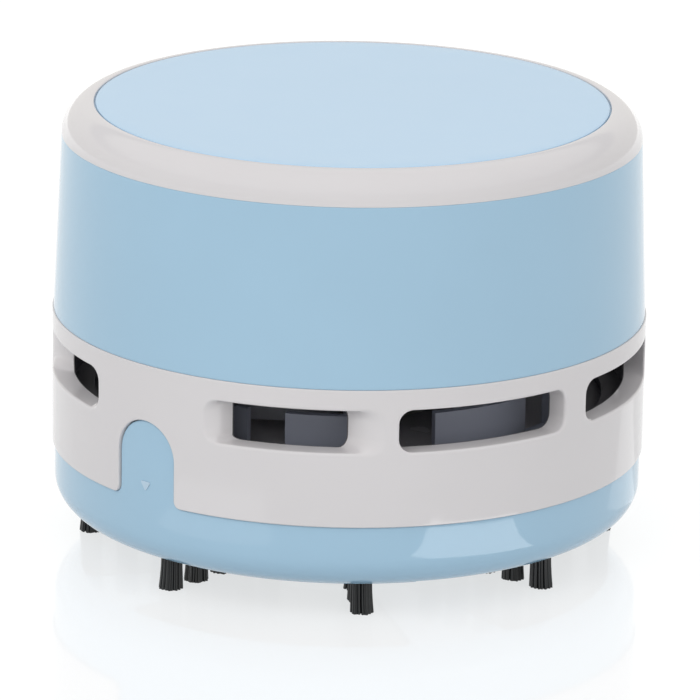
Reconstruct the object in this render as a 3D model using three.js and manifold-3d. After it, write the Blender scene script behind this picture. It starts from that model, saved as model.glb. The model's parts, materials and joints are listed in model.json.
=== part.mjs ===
// A desktop mini vacuum cleaner: a round battery sweeper that stands on its bristles.
// Millimetres, +Z up, origin on the desk at the centre. The tongue faces -Y, and the power switch +Y.
import * as THREE from 'three';
import Module from 'manifold-3d';
import { mergeVertices } from 'three/addons/utils/BufferGeometryUtils.js';

const wasm = await Module();
wasm.setup();

// Outer form, stacked from the desk up
const bristleReach = 4.7;
const baseHeight = 9.35;
const bandHeight = 19.7;
const shellHeight = 25.55;
const rimHeight = 4.4;
const bandRadius = 42.5;
const bandDraft = 0.05;
const shellSetback = 0.18;
const shellDraft = 1.05;
const baseSetback = 0.35;
const rimWidth = 4.6;
const roundSides = 56;
const innerSides = 32;
const cornerSteps = 2;
const arcSteps = 5;

// Clearances
const fitGap = 0.3;
const runGap = 0.1;
const liftGap = 0.4;
const cutOver = 1;
const mergeReach = 0.0001;

// Base tray
const baseWall = 2.2;
const baseFillet = 4.5;
const trayFloor = 2;
const inletRadius = 11.5;
const chimneyWall = 1.4;
const chimneyRise = 5.7;

// Bristles: radial rows of tufts, each tuft a bundle of three-sided strands
const rowCount = 8;
const rowsPerStrip = 2;
const tuftsPerRow = 5;
const tuftEdge = 5.4;
const tuftInset = 4.8;
const tuftRadius = 1.15;
const tuftSpread = 0.4;
const strandsPerTuft = 8;
const strandRadius = 0.22;
const strandSides = 3;
const strandSink = 0.4;
const bristleTrim = 0.5;
const stripThickness = 1;
const stripMargin = 0.35;
const stripSideMargin = 2.6;
const sunflowerTurn = 137.508;

// Release tongue
const tongueWidth = 10.3;
const tongueRise = 11.55;
const tongueWall = 1.6;
const footFlare = 1.2;
const markWidth = 2;
const markHeight = 1.4;
const markProud = 0.15;
const markRise = 1.4;

// Exhaust band
const bandWall = 3.1;
const bandLip = 1;
const flangeThickness = 1.2;
const skirtWall = 1.4;
const skirtDrop = 2.5;
const skirtRoot = 1.65;
const ledgeReach = 3;
const ledgeThickness = 1.2;
const windowSill = 10.7;
const windowLintel = 2.95;
const windowCorner = 1.9;
const endWindowAngles = [14.15, 45.95];
const sideWindowAngles = [51.4, 86.9];
const endWallTurn = 3.8;
const endReachShare = 0.8;
const nearStartShare = 2;
const nearCutShare = 5;

// Fan inlet plate and filter
const fanPlateRise = 5.2;
const fanPlateThickness = 1.6;
const fanInletRadius = 14;
const filterHeadGap = 1.4;
const filterRimWall = 1.2;
const filterDiscThickness = 1;
const filterFrameThickness = 1.2;
const filterFrameWidth = 3.5;
const filterHubRadius = 4;
const spokeWidth = 1.2;
const spokeCount = 6;

// Exhaust baffle
const exhaustGap = 5.7;
const baffleWall = 1.2;
const baffleDrop = 4.35;
const baffleFoot = 1.2;
const baffleSectors = 10;
const baffleSectorAngle = 26.4;
const baffleTurn = 3.8;

// Motor deck
const deckThickness = 2;
const postRadius = 2.5;
const postGap = 0.4;

// Screws
const housingScrewRadius = 1.1;
const housingHeadRadius = 2.1;
const motorScrewRadius = 1;
const motorHeadRadius = 1.9;
const headHeight = 1.3;
const crossWidth = 0.6;
const crossDepth = 0.7;
const crossShare = 0.6;
const motorScrewReach = 2;
const motorScrewSpread = 6.5;
const screwSides = 10;
const legCover = 0.9;

// Motor and rotor
const motorWidth = 20.1;
const motorDepth = 15.1;
const motorHeadroom = 1.65;
const canWall = 0.8;
const bossRadius = 3;
const bossLength = 1.8;
const capLength = 2.6;
const plugLength = 2;
const capCover = 0.6;
const bushingRadius = 1.5;
const bushingLength = 2.2;
const shaftRadius = 1;
const shaftSides = 16;
const magnetThickness = 2.2;
const magnetAngle = 70;
const magnetEndGap = 1.7;
const magnetLift = 2;
const armatureRadius = 6.2;
const armatureEndGap = 2.2;
const armatureLift = 2.5;
const armatureHub = 2.4;
const poleCount = 3;
const poleStemWidth = 2.2;
const poleShoeThickness = 1.6;
const poleShoeAngle = 96;
const terminalWidth = 2.2;
const terminalThickness = 0.5;
const terminalReach = 3.1;
const terminalSink = 1.8;
const terminalRise = 1.1;

// Impeller
const impellerSideGap = 3.5;
const impellerBack = 1.2;
const impellerGap = 0.8;
const bladeFloorGap = 1.3;
const bladeCount = 9;
const bladeWall = 1.1;
const bladeStart = 9;
const bladeSweep = 38;
const bladeSteps = 5;
const hubRadius = 3.2;
const hubLift = 1.6;

// Battery cells, their holder and contacts. The cells' length follows from the room across the shell.
const cellRadius = 7.1;
const cellEndRoom = 15;
const cellSides = 20;
const cellBevel = 0.5;
const nubRadius = 2.7;
const nubLength = 1.2;
const motorSideGap = 2.15;
const cellDip = 0.8;
const troughGap = 0.5;
const troughWall = 1.2;
const holderDrop = 3.4;
const holderThickness = 1.5;
const legRadius = 2.6;
const lugThickness = 1.2;
const lugReach = 1.9;
const lugAngle = 24;
const contactThickness = 0.4;
const contactHalfWidth = 4;
const tailHalfWidth = 1.2;
const tailReach = 2.7;
const tailDrop = 3.2;
const springRoom = 3.4;
const springWire = 0.6;
const springWide = 3.4;
const springNarrow = 2;
const springTurns = 2.5;
const springStepsPerTurn = 8;
const springSides = 5;

// Upper shell and power switch
const shellWall = 1.8;
const switchRise = 12.35;
const pocketWidth = 15;
const pocketHeight = 7;
const pocketCorner = 2;
const pocketDepth = 1.8;
const padThickness = 1.6;
const padMargin = 1.2;
const switchLength = 8.5;
const switchHeight = 3.8;
const switchDepth = 3.6;
const cradleWall = 1;
const knobWidth = 5.5;
const knobHeight = 5;
const knobThickness = 1.3;
const knobRibWidth = 0.6;
const knobRibProud = 0.3;
const knobRibs = 3;
const stemWidth = 2.6;
const stemHeight = 2.2;
const stemSink = 1.2;
const switchTravel = 4;
const pinLength = 1.8;
const pinWidth = 0.6;
const pinSpacing = 2.5;

// Lid
const discThickness = 2.3;
const discGap = 0.2;
const shelfThickness = 1.5;
const shelfWidth = 3;
const lidSkirtWall = 1.35;
const discCollarWall = 1.2;
const discCollarDrop = 1.3;
const lidRibSpread = 12;
const lidRibWidth = 1.4;
const lidRibEndGap = 5.95;

// Leads
const leadRadius = 0.65;
const leadSides = 8;
const leadSteps = 14;

// Heights and radii that several pieces share
const baseTop = bristleReach + baseHeight;
const bandTop = baseTop + bandHeight;
const shellTop = bandTop + shellHeight;
const lidTop = shellTop + rimHeight;
const baseRadius = bandRadius - bandDraft - baseSetback;
const bandInner = bandRadius - bandWall;
const shellFoot = bandRadius - shellSetback;
const rimRadius = shellFoot - shellDraft;
const skirtOuter = baseRadius - baseWall - liftGap;
const skirtInner = skirtOuter - skirtWall;
const fanPlateBottom = baseTop + fanPlateRise;
const fanPlateTop = fanPlateBottom + fanPlateThickness;
const fanPlateRadius = skirtInner - fitGap;
const baffleRadius = bandInner - exhaustGap;
const baffleInner = baffleRadius - baffleWall;
const screwCircle = baffleInner - postGap - postRadius;
const filterRadius = screwCircle - housingHeadRadius - filterHeadGap - filterRimWall - fitGap;
const deckBottom = bandTop - deckThickness;
const flangeRadius = bandRadius - bandLip - fitGap;
const holderTop = shellTop - holderDrop;
const holderBottom = holderTop - holderThickness;
const cellHeight = holderTop - cellDip - cellRadius;
const troughRadius = cellRadius + troughGap;
const troughOuter = troughRadius + troughWall;
const troughHalf = bandRadius - cellEndRoom;
const cellLength = troughHalf * 2 - springRoom - contactThickness * 2 - fitGap;
const cellSpread = motorDepth / 2 + motorSideGap + troughOuter;
const screwTip = cellHeight - troughRadius - legCover;
const impellerTop = deckBottom - headHeight - impellerGap;
const impellerBottom = fanPlateTop + bladeFloorGap;
const impellerRadius = screwCircle - postRadius - impellerSideGap;
const motorTop = holderBottom - motorHeadroom;
const canTop = motorTop - capLength;
const switchHeightZ = bandTop + switchRise;
const pocketFloor = shellRadiusAt(switchHeightZ) - pocketDepth;
const padInner = pocketFloor - padThickness;
const switchFront = padInner - fitGap;
const switchBack = switchFront - switchDepth;
const postAngles = [45, 135, 225, 315];

const rad = THREE.MathUtils.degToRad;

function shellRadiusAt(z) {
  return shellFoot - (shellDraft * (z - bandTop)) / shellHeight;
}

// The plan point at a radius and an angle from the tongue, positive towards +X
function planPoint(radius, degrees) {
  return new THREE.Vector2(radius * Math.sin(rad(degrees)), -radius * Math.cos(rad(degrees)));
}

// A closed solid from any closed geometry: corners merged, slivers dropped and faces turned outwards
function solid(geometry) {
  const bare = new THREE.BufferGeometry();
  bare.setAttribute('position', geometry.getAttribute('position'));
  bare.setIndex(geometry.index);
  const merged = mergeVertices(bare, mergeReach);
  const positions = merged.getAttribute('position').array;
  const index = merged.index.array;
  const corner = (i) => new THREE.Vector3().fromArray(positions, i * 3);
  const faces = [];
  let volume = 0;
  for (let i = 0; i < index.length; i += 3) {
    const [a, b, c] = index.slice(i, i + 3);
    if (a === b || b === c || c === a) continue;
    faces.push(a, b, c);
    volume += corner(a).dot(corner(b).cross(corner(c)));
  }
  if (volume < 0) faces.reverse();
  const mesh = new wasm.Mesh({
    numProp: 3,
    vertProperties: new Float32Array(positions),
    triVerts: new Uint32Array(faces),
  });
  return new wasm.Manifold(mesh);
}

// A body of revolution about Z from [radius, height] pairs, closed on the axis or on itself
function turned(profile, sides) {
  const points = profile.map(([radius, height]) => new THREE.Vector2(radius, height));
  if (profile[0][0] > 0) points.push(points[0].clone());
  return solid(new THREE.LatheGeometry(points, sides).rotateX(Math.PI / 2));
}

function disc(radius, bottom, top, sides) {
  return turned([[0, bottom], [radius, bottom], [radius, top], [0, top]], sides);
}

function ring(inner, outer, bottom, top, sides) {
  return turned([[inner, bottom], [outer, bottom], [outer, top], [inner, top]], sides);
}

function rod(radius, bottom, top, sides, [x, y]) {
  return solid(geometryOf(disc(radius, bottom, top, sides)).translate(x, y, 0));
}

function block([x0, x1], [y0, y1], [z0, z1]) {
  const box = new THREE.BoxGeometry(x1 - x0, y1 - y0, z1 - z0);
  return solid(box.translate((x0 + x1) / 2, (y0 + y1) / 2, (z0 + z1) / 2));
}

function extruded(shape, depth, curveSteps) {
  return new THREE.ExtrudeGeometry(shape, { depth, bevelEnabled: false, curveSegments: curveSteps });
}

// A plan outline raised between two heights
function raised(shape, bottom, top, curveSteps) {
  return solid(extruded(shape, top - bottom, curveSteps).translate(0, 0, bottom));
}

// An outline drawn in Y and Z, carried along X
const alongX = new THREE.Matrix4().set(0, 0, 1, 0, 1, 0, 0, 0, 0, 1, 0, 0, 0, 0, 0, 1);

function carriedAlongX(shape, x0, x1, curveSteps) {
  return solid(extruded(shape, x1 - x0, curveSteps).applyMatrix4(alongX).translate(x0, 0, 0));
}

// An outline drawn in X and Z, carried along Y
function carriedAlongY(shape, y0, y1, curveSteps) {
  return solid(extruded(shape, y1 - y0, curveSteps).rotateX(Math.PI / 2).translate(0, y1, 0));
}

function sectorShape(inner, outer, from, to, steps) {
  const points = [];
  for (let i = 0; i <= steps; i += 1) points.push(planPoint(outer, from + ((to - from) * i) / steps));
  for (let i = steps; i >= 0; i -= 1) points.push(planPoint(inner, from + ((to - from) * i) / steps));
  return new THREE.Shape(points);
}

function roundedRect(u0, u1, v0, v1, corner) {
  const shape = new THREE.Shape();
  shape.moveTo(u0 + corner, v0);
  shape.lineTo(u1 - corner, v0);
  shape.absarc(u1 - corner, v0 + corner, corner, -Math.PI / 2, 0);
  shape.lineTo(u1, v1 - corner);
  shape.absarc(u1 - corner, v1 - corner, corner, 0, Math.PI / 2);
  shape.lineTo(u0 + corner, v1);
  shape.absarc(u0 + corner, v1 - corner, corner, Math.PI / 2, Math.PI);
  shape.lineTo(u0, v0 + corner);
  shape.absarc(u0 + corner, v0 + corner, corner, Math.PI, Math.PI * 1.5);
  return shape;
}

function joined(first, ...others) {
  return others.reduce((whole, other) => whole.add(other), first);
}

function cut(whole, ...cutters) {
  return cutters.reduce((left, cutter) => left.subtract(cutter), whole);
}

// The same solid mirrored across X = 0 or Y = 0
function mirrored(body, x, y) {
  const geometry = geometryOf(body);
  geometry.scale(x, y, 1);
  return solid(geometry);
}

function geometryOf(body) {
  const mesh = body.getMesh();
  const geometry = new THREE.BufferGeometry();
  geometry.setAttribute('position', new THREE.BufferAttribute(mesh.vertProperties, 3));
  geometry.setIndex(new THREE.BufferAttribute(mesh.triVerts, 1));
  return geometry;
}

function material(color, roughness, metalness) {
  return new THREE.MeshStandardMaterial({ color, roughness, metalness });
}

const blue = material('#a0c1d6', 0.25, 0);
const paleBlue = material('#c8dcec', 0.3, 0);
const white = material('#d2cfd0', 0.25, 0);
const grey = material('#7d818e', 0.4, 0);
const darkGrey = material('#2a2b2d', 0.5, 0);
const black = material('#1b2023', 0.6, 0);
const steel = material('#b8babc', 0.3, 1);
const brass = material('#c2a25a', 0.35, 1);
const felt = material('#e4e2dc', 0.9, 0);
const magnetGrey = material('#3b3c40', 0.7, 0);
const cellSkin = material('#4c5258', 0.35, 0.5);
const redLead = material('#b2312b', 0.5, 0);
const blackLead = material('#202124', 0.5, 0);

const vacuum = new THREE.Group();

function add(name, body, finish) {
  const mesh = new THREE.Mesh(geometryOf(body), finish);
  mesh.geometry.computeVertexNormals();
  mesh.name = name;
  vacuum.add(mesh);
}

// Bristle strips: each is a slice of the tray's floor with its rows of tufts
const rowStep = 360 / rowCount;
const stripStep = rowStep * rowsPerStrip;
const outerTuft = baseRadius - tuftEdge;
const innerTuft = inletRadius + tuftInset;
const tuftPitch = (outerTuft - innerTuft) / (tuftsPerRow - 1);
const stripInner = innerTuft - tuftRadius - stripMargin;
const stripOuter = outerTuft + tuftRadius + stripMargin;
const stripSide = THREE.MathUtils.radToDeg(stripSideMargin / stripInner);

function stripShape(grow) {
  const side = stripSide + THREE.MathUtils.radToDeg(grow / stripInner);
  return sectorShape(stripInner - grow, stripOuter + grow, -side, rowStep + side, arcSteps);
}

function strandGeometry(root, tip) {
  const points = [];
  for (const [centre, z] of [[root, bristleReach + strandSink], [tip, -bristleTrim]]) {
    for (let i = 0; i < strandSides; i += 1) {
      const turn = (Math.PI * 2 * i) / strandSides;
      points.push(centre.x + strandRadius * Math.cos(turn), centre.y + strandRadius * Math.sin(turn), z);
    }
  }
  const faces = [];
  for (let i = 0; i < strandSides; i += 1) {
    const next = (i + 1) % strandSides;
    faces.push(i, i + strandSides, next, next, i + strandSides, next + strandSides);
    if (i > 1) faces.push(0, i - 1, i, strandSides, i + strandSides, i - 1 + strandSides);
  }
  return { points, faces };
}

function bristles() {
  const points = [];
  const faces = [];
  for (let row = 0; row < rowsPerStrip; row += 1) {
    for (let tuft = 0; tuft < tuftsPerRow; tuft += 1) {
      const centre = planPoint(outerTuft - tuftPitch * tuft, rowStep * row);
      for (let strand = 0; strand < strandsPerTuft; strand += 1) {
        const share = Math.sqrt((strand + 0.5) / strandsPerTuft);
        const turn = rad(strand * sunflowerTurn);
        const lean = new THREE.Vector2(Math.cos(turn), Math.sin(turn));
        const root = centre.clone().addScaledVector(lean, tuftRadius * share);
        const tip = centre.clone().addScaledVector(lean, (tuftRadius + tuftSpread) * share);
        const made = strandGeometry(root, tip);
        const first = points.length / 3;
        points.push(...made.points);
        faces.push(...made.faces.map((corner) => corner + first));
      }
    }
  }
  const geometry = new THREE.BufferGeometry();
  geometry.setAttribute('position', new THREE.Float32BufferAttribute(points, 3));
  geometry.setIndex(faces);
  return solid(geometry);
}

function turnedBy(body, degrees) {
  return solid(geometryOf(body).rotateZ(rad(degrees)));
}

const stripTop = bristleReach + stripThickness;
const belowDesk = block(
  [-bandRadius, bandRadius],
  [-bandRadius, bandRadius],
  [-bristleTrim - cutOver, 0],
);
const strip = cut(joined(raised(stripShape(0), bristleReach, stripTop, 1), bristles()), belowDesk);
const stripRecesses = [];
for (let i = 0; i < rowCount / rowsPerStrip; i += 1) {
  add(`brush_strip_${i + 1}`, turnedBy(strip, stripStep * i), black);
  const recess = raised(stripShape(fitGap), bristleReach - cutOver, stripTop, 1);
  stripRecesses.push(turnedBy(recess, stripStep * i));
}

// Base tray: a cup with a rounded foot, a suction inlet and a chimney that keeps the dust in
const baseProfile = [[inletRadius, bristleReach]];
for (let i = 0; i <= arcSteps; i += 1) {
  const turn = (Math.PI / 2) * (i / arcSteps);
  baseProfile.push([
    baseRadius - baseFillet * (1 - Math.sin(turn)),
    bristleReach + baseFillet * (1 - Math.cos(turn)),
  ]);
}
const floorTop = bristleReach + trayFloor;
const chimneyOuter = inletRadius + chimneyWall;
baseProfile.push(
  [baseRadius, baseTop],
  [baseRadius - baseWall, baseTop],
  [baseRadius - baseWall, bristleReach + baseFillet],
  [baseRadius - baseFillet, floorTop],
  [chimneyOuter, floorTop],
  [chimneyOuter, floorTop + chimneyRise],
  [inletRadius, floorTop + chimneyRise],
);
add('base_tray', cut(turned(baseProfile, roundSides), ...stripRecesses), blue);

// Release tongue, with a round top and a flared foot. The slot in the band is the same outline, grown.
function tongueShape(grow) {
  const half = tongueWidth / 2 + grow;
  const top = baseTop + tongueRise - tongueWidth / 2;
  const flare = footFlare - grow;
  const foot = baseTop + (grow > 0 ? -cutOver : fitGap);
  const shape = new THREE.Shape();
  shape.moveTo(-half - flare, foot);
  shape.lineTo(half + flare, foot);
  shape.lineTo(half + flare, baseTop + fitGap + grow);
  shape.absarc(half + flare, baseTop + fitGap + footFlare, flare, -Math.PI / 2, -Math.PI, true);
  shape.lineTo(half, top);
  shape.absarc(0, top, half, 0, Math.PI);
  shape.lineTo(-half, baseTop + fitGap + footFlare);
  shape.absarc(-half - flare, baseTop + fitGap + footFlare, flare, 0, -Math.PI / 2, true);
  return shape;
}

const tongueWallRing = ring(baseRadius - tongueWall, baseRadius, baseTop, bandTop, roundSides * 2);
const tongueBar = carriedAlongY(tongueShape(0), -bandRadius - cutOver, -bandInner + tongueWall, arcSteps);
const markTop = baseTop + markRise + markHeight;
const markShape = new THREE.Shape([
  new THREE.Vector2(0, markTop - markHeight),
  new THREE.Vector2(markWidth / 2, markTop),
  new THREE.Vector2(-markWidth / 2, markTop),
]);
const mark = carriedAlongY(markShape, -baseRadius - markProud, -baseRadius + tongueWall / 2, 1);
add('release_tongue', joined(tongueBar.intersect(tongueWallRing), mark), blue);

// Exhaust band. Its foot skirt drops into the tray, its ledge sits on the fan plate and its top rebate
// takes the deck's flange.
const bandFloor = baseTop - skirtDrop;
const rebateFloor = bandTop - flangeThickness;
const band = turned(
  [
    [skirtInner, bandFloor],
    [skirtOuter, bandFloor],
    [skirtOuter, baseTop],
    [bandRadius - bandDraft, baseTop],
    [bandRadius, bandTop],
    [bandRadius - bandLip, bandTop],
    [bandRadius - bandLip, rebateFloor],
    [bandInner, rebateFloor],
    [bandInner, fanPlateTop + ledgeThickness],
    [bandInner - ledgeReach, fanPlateTop + ledgeThickness],
    [bandInner - ledgeReach, fanPlateTop],
    [bandInner, fanPlateTop],
    [bandInner, baseTop + skirtRoot],
    [skirtInner, baseTop + skirtRoot],
  ],
  roundSides,
);

const windowBottom = baseTop + windowSill;
const windowTop = bandTop - windowLintel;
const bandBeyond = bandRadius + cutOver;

// A side window: its end walls run along X, the way its slide pulls
function sideWindow([from, to]) {
  const y0 = planPoint(bandRadius, from).y;
  const y1 = planPoint(bandRadius, to).y;
  const outline = roundedRect(y0, y1, windowBottom, windowTop, windowCorner);
  return carriedAlongX(outline, bandInner / 2, bandBeyond, cornerSteps);
}

// A window beside the tongue: its near end wall turns inwards, so a second cutter follows that wall
function endWindow([from, to]) {
  const outer = planPoint(bandRadius, from);
  const inner = planPoint(bandInner, from + endWallTurn);
  const far = planPoint(bandRadius, to);
  const main = roundedRect(inner.y, far.y, windowBottom, windowTop, windowCorner);
  const along = outer.clone().sub(inner).normalize();
  const across = new THREE.Vector2(-along.y, along.x);
  const width = far.clone().sub(outer).dot(across) * endReachShare;
  const near = roundedRect(0, width, windowBottom, windowTop, windowCorner);
  const depth = bandWall * nearCutShare;
  const basis = new THREE.Matrix4().makeBasis(
    new THREE.Vector3(across.x, across.y, 0),
    new THREE.Vector3(0, 0, 1),
    new THREE.Vector3(across.y, -across.x, 0),
  );
  const start = inner.clone().addScaledVector(along, bandWall * nearStartShare);
  const nearCutter = extruded(near, depth, cornerSteps).applyMatrix4(basis).translate(start.x, start.y, 0);
  return joined(carriedAlongX(main, bandInner / 2, bandBeyond, cornerSteps), solid(nearCutter));
}

const slotWall = ring(bandInner - fitGap, bandBeyond, baseTop, bandTop, roundSides);
const slotBar = carriedAlongY(tongueShape(fitGap), -bandBeyond, -bandInner + tongueWall, arcSteps);
const slot = slotBar.intersect(slotWall);
const rightWindows = [endWindow(endWindowAngles), sideWindow(sideWindowAngles)];
const windows = rightWindows.flatMap((cutter) => [
  cutter,
  mirrored(cutter, -1, 1),
  mirrored(cutter, 1, -1),
  mirrored(cutter, -1, -1),
]);
add('exhaust_band', cut(band, slot, ...windows), white);

// Fan inlet plate with the rim that holds the filter
const postPlaces = postAngles.map((degrees) => planPoint(screwCircle, degrees).toArray());
const clearanceHoles = postPlaces.map((place) => (
  rod(housingScrewRadius + fitGap, fanPlateBottom - cutOver, bandTop + cutOver, screwSides, place)
));
const filterFloor = fanPlateBottom - filterDiscThickness - filterFrameThickness;
const filterRim = filterRadius + fitGap;
const fanPlate = turned(
  [
    [fanInletRadius, fanPlateBottom],
    [filterRim, fanPlateBottom],
    [filterRim, filterFloor],
    [filterRim + filterRimWall, filterFloor],
    [filterRim + filterRimWall, fanPlateBottom],
    [fanPlateRadius, fanPlateBottom],
    [fanPlateRadius, fanPlateTop],
    [fanInletRadius, fanPlateTop],
  ],
  innerSides,
);
add('fan_inlet_plate', cut(fanPlate, ...clearanceHoles), white);

const filterDiscBottom = fanPlateBottom - filterDiscThickness;
let filterFrame = joined(
  ring(filterRadius - filterFrameWidth, filterRadius, filterFloor, filterDiscBottom, innerSides),
  disc(filterHubRadius, filterFloor, filterDiscBottom, screwSides),
);
for (let i = 0; i < spokeCount; i += 1) {
  const spoke = block(
    [-spokeWidth / 2, spokeWidth / 2],
    [filterHubRadius / 2, filterRadius - filterFrameWidth / 2],
    [filterFloor, filterDiscBottom],
  );
  filterFrame = joined(filterFrame, turnedBy(spoke, (360 * i) / spokeCount));
}
add('filter_frame', filterFrame, darkGrey);
add('filter_disc', disc(filterRadius, filterDiscBottom, fanPlateBottom, innerSides), felt);

// Exhaust baffle: a ring on a closed foot, with gaps that let the air out between its wall sectors
const baffleTop = deckBottom - baffleDrop;
const baffleGapAngle = 360 / baffleSectors - baffleSectorAngle;
const baffleGaps = [];
for (let i = 0; i < baffleSectors; i += 1) {
  const from = baffleTurn + baffleSectorAngle / 2 + (360 / baffleSectors) * i;
  const gap = sectorShape(baffleInner - cutOver, baffleRadius + cutOver, from, from + baffleGapAngle, 1);
  baffleGaps.push(raised(gap, fanPlateTop + baffleFoot, baffleTop + cutOver, 1));
}
const baffle = cut(ring(baffleInner, baffleRadius, fanPlateTop, baffleTop, innerSides), ...baffleGaps);
add('exhaust_baffle', baffle, grey);

// Motor deck: flange, four posts down to the fan plate, and the motor's seat
let deck = joined(
  turned(
    [
      [0, deckBottom],
      [bandInner - fitGap, deckBottom],
      [bandInner - fitGap, rebateFloor],
      [flangeRadius, rebateFloor],
      [flangeRadius, bandTop],
      [0, bandTop],
    ],
    innerSides,
  ),
  ...postPlaces.map((place) => rod(postRadius, fanPlateTop, bandTop, screwSides, place)),
);
const motorScrewPlaces = [[-motorScrewSpread, 0], [motorScrewSpread, 0]];
deck = cut(
  deck,
  ...clearanceHoles,
  disc(bossRadius + fitGap, deckBottom - cutOver, bandTop + cutOver, shaftSides),
  ...motorScrewPlaces.map((place) => (
    rod(motorScrewRadius + fitGap, deckBottom - cutOver, bandTop + cutOver, screwSides, place)
  )),
);
add('motor_deck', deck, grey);

// Screws: a pan head below and a plain shank
function screw(shankRadius, headRadius, seat, tip, place) {
  const [x, y] = place;
  const head = rod(headRadius, seat - headHeight, seat, screwSides, place);
  const shank = rod(shankRadius, seat - headHeight / 2, tip, screwSides, place);
  const floor = [seat - headHeight - cutOver, seat - headHeight + crossDepth];
  const long = headRadius * crossShare;
  const short = crossWidth / 2;
  return cut(
    joined(head, shank),
    block([x - long, x + long], [y - short, y + short], floor),
    block([x - short, x + short], [y - long, y + long], floor),
  );
}

postPlaces.forEach((place, i) => {
  const body = screw(housingScrewRadius, housingHeadRadius, fanPlateBottom, screwTip, place);
  add(`housing_screw_${i + 1}`, body, steel);
});
motorScrewPlaces.forEach((place, i) => {
  const body = screw(motorScrewRadius, motorHeadRadius, deckBottom, bandTop + motorScrewReach, place);
  add(`motor_screw_${i + 1}`, body, steel);
});

// Motor: a flat-sided can with a boss, a plastic end cap, magnets, bushing and terminals
function motorSection(inset) {
  const round = motorWidth / 2 - inset;
  const flat = motorDepth / 2 - inset;
  const turn = Math.asin(flat / round);
  const shape = new THREE.Shape();
  shape.absarc(0, 0, round, -turn, turn);
  shape.lineTo(-round * Math.cos(turn), flat);
  shape.absarc(0, 0, round, Math.PI - turn, Math.PI + turn);
  shape.lineTo(round * Math.cos(turn), -flat);
  return shape;
}

const motorScrewBores = motorScrewPlaces.map((place) => (
  rod(motorScrewRadius + runGap, bandTop - cutOver, bandTop + canWall + cutOver, screwSides, place)
));
const can = cut(
  joined(
    raised(motorSection(0), bandTop, canTop, arcSteps),
    disc(bossRadius, bandTop - bossLength, bandTop + canWall, shaftSides),
  ),
  raised(motorSection(canWall), bandTop + canWall, canTop + cutOver, arcSteps),
  disc(bushingRadius + runGap, bandTop - bossLength - cutOver, bandTop + canWall + cutOver, shaftSides),
  ...motorScrewBores,
);
add('motor_can', can, steel);

const bushingBottom = bandTop - bossLength + runGap;
const bushing = ring(
  shaftRadius + runGap, bushingRadius, bushingBottom, bushingBottom + bushingLength, shaftSides,
);
add('motor_bushing', bushing, brass);

const terminalFloor = canTop + terminalRise;
const motorHalf = motorWidth / 2;
const shaftTop = motorTop - capCover - fitGap;
let cap = joined(
  raised(motorSection(0), canTop, motorTop, arcSteps),
  raised(motorSection(canWall + fitGap), canTop - plugLength, canTop + capLength / 2, arcSteps),
);
cap = cut(
  cap,
  disc(shaftRadius + runGap, canTop - plugLength - cutOver, motorTop - capCover, shaftSides),
  ...[-1, 1].map((side) => {
    const inner = side * (motorHalf - terminalSink - fitGap);
    const outer = side * (motorHalf + cutOver);
    return block(
      [Math.min(inner, outer), Math.max(inner, outer)],
      [-terminalWidth / 2 - fitGap, terminalWidth / 2 + fitGap],
      [terminalFloor - fitGap, terminalFloor + terminalThickness + fitGap],
    );
  }),
);
add('motor_end_cap', cap, darkGrey);

[-1, 1].forEach((side, i) => {
  const inner = side * (motorHalf - terminalSink);
  const outer = side * (motorHalf + terminalReach);
  const tab = block(
    [Math.min(inner, outer), Math.max(inner, outer)],
    [-terminalWidth / 2, terminalWidth / 2],
    [terminalFloor, terminalFloor + terminalThickness],
  );
  add(`motor_terminal_${i + 1}`, tab, brass);

  const magnetOuter = motorHalf - canWall - fitGap;
  const middle = 90 * side;
  const arc = sectorShape(
    magnetOuter - magnetThickness,
    magnetOuter,
    middle - magnetAngle / 2,
    middle + magnetAngle / 2,
    arcSteps,
  );
  const magnetBottom = bandTop + canWall + magnetLift;
  const magnetTop = canTop - plugLength - magnetEndGap;
  add(`field_magnet_${i + 1}`, raised(arc, magnetBottom, magnetTop, 1), magnetGrey);
});

// Rotor: shaft, laminated core with three poles, and the impeller
const impellerHubBottom = impellerBottom + hubLift;
add('motor_shaft', disc(shaftRadius, impellerHubBottom, shaftTop, shaftSides), steel);

const coreBottom = bandTop + canWall + armatureLift;
const coreTop = canTop - plugLength - armatureEndGap;
let core = disc(armatureHub, coreBottom, coreTop, shaftSides);
for (let i = 0; i < poleCount; i += 1) {
  const middle = (360 / poleCount) * i;
  const from = middle - poleShoeAngle / 2;
  const shoeInner = armatureRadius - poleShoeThickness;
  const shoe = sectorShape(shoeInner, armatureRadius, from, from + poleShoeAngle, arcSteps);
  const stem = block(
    [-poleStemWidth / 2, poleStemWidth / 2],
    [-armatureRadius + poleShoeThickness / 2, -armatureHub / 2],
    [coreBottom, coreTop],
  );
  core = joined(core, raised(shoe, coreBottom, coreTop, 1), turnedBy(stem, middle));
}
const shaftBore = disc(shaftRadius + runGap, impellerHubBottom - cutOver, canTop, shaftSides);
add('motor_armature', cut(core, shaftBore), steel);

function bladeShape() {
  const front = [];
  const back = [];
  for (let i = 0; i <= bladeSteps; i += 1) {
    const share = i / bladeSteps;
    const radius = bladeStart + (impellerRadius - bladeStart) * share;
    const middle = -bladeSweep * share * share;
    const half = THREE.MathUtils.radToDeg(bladeWall / 2 / radius);
    front.push(planPoint(radius, middle - half));
    back.unshift(planPoint(radius, middle + half));
  }
  return new THREE.Shape([...front, ...back]);
}

const bladeTop = impellerTop - impellerBack;
let impeller = joined(
  disc(impellerRadius, bladeTop, impellerTop, innerSides),
  disc(hubRadius, impellerHubBottom, impellerTop, shaftSides),
);
const blade = raised(bladeShape(), impellerBottom, bladeTop + impellerBack / 2, 1);
for (let i = 0; i < bladeCount; i += 1) {
  impeller = joined(impeller, turnedBy(blade, (360 / bladeCount) * i));
}
add('impeller', cut(impeller, shaftBore), grey);

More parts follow.
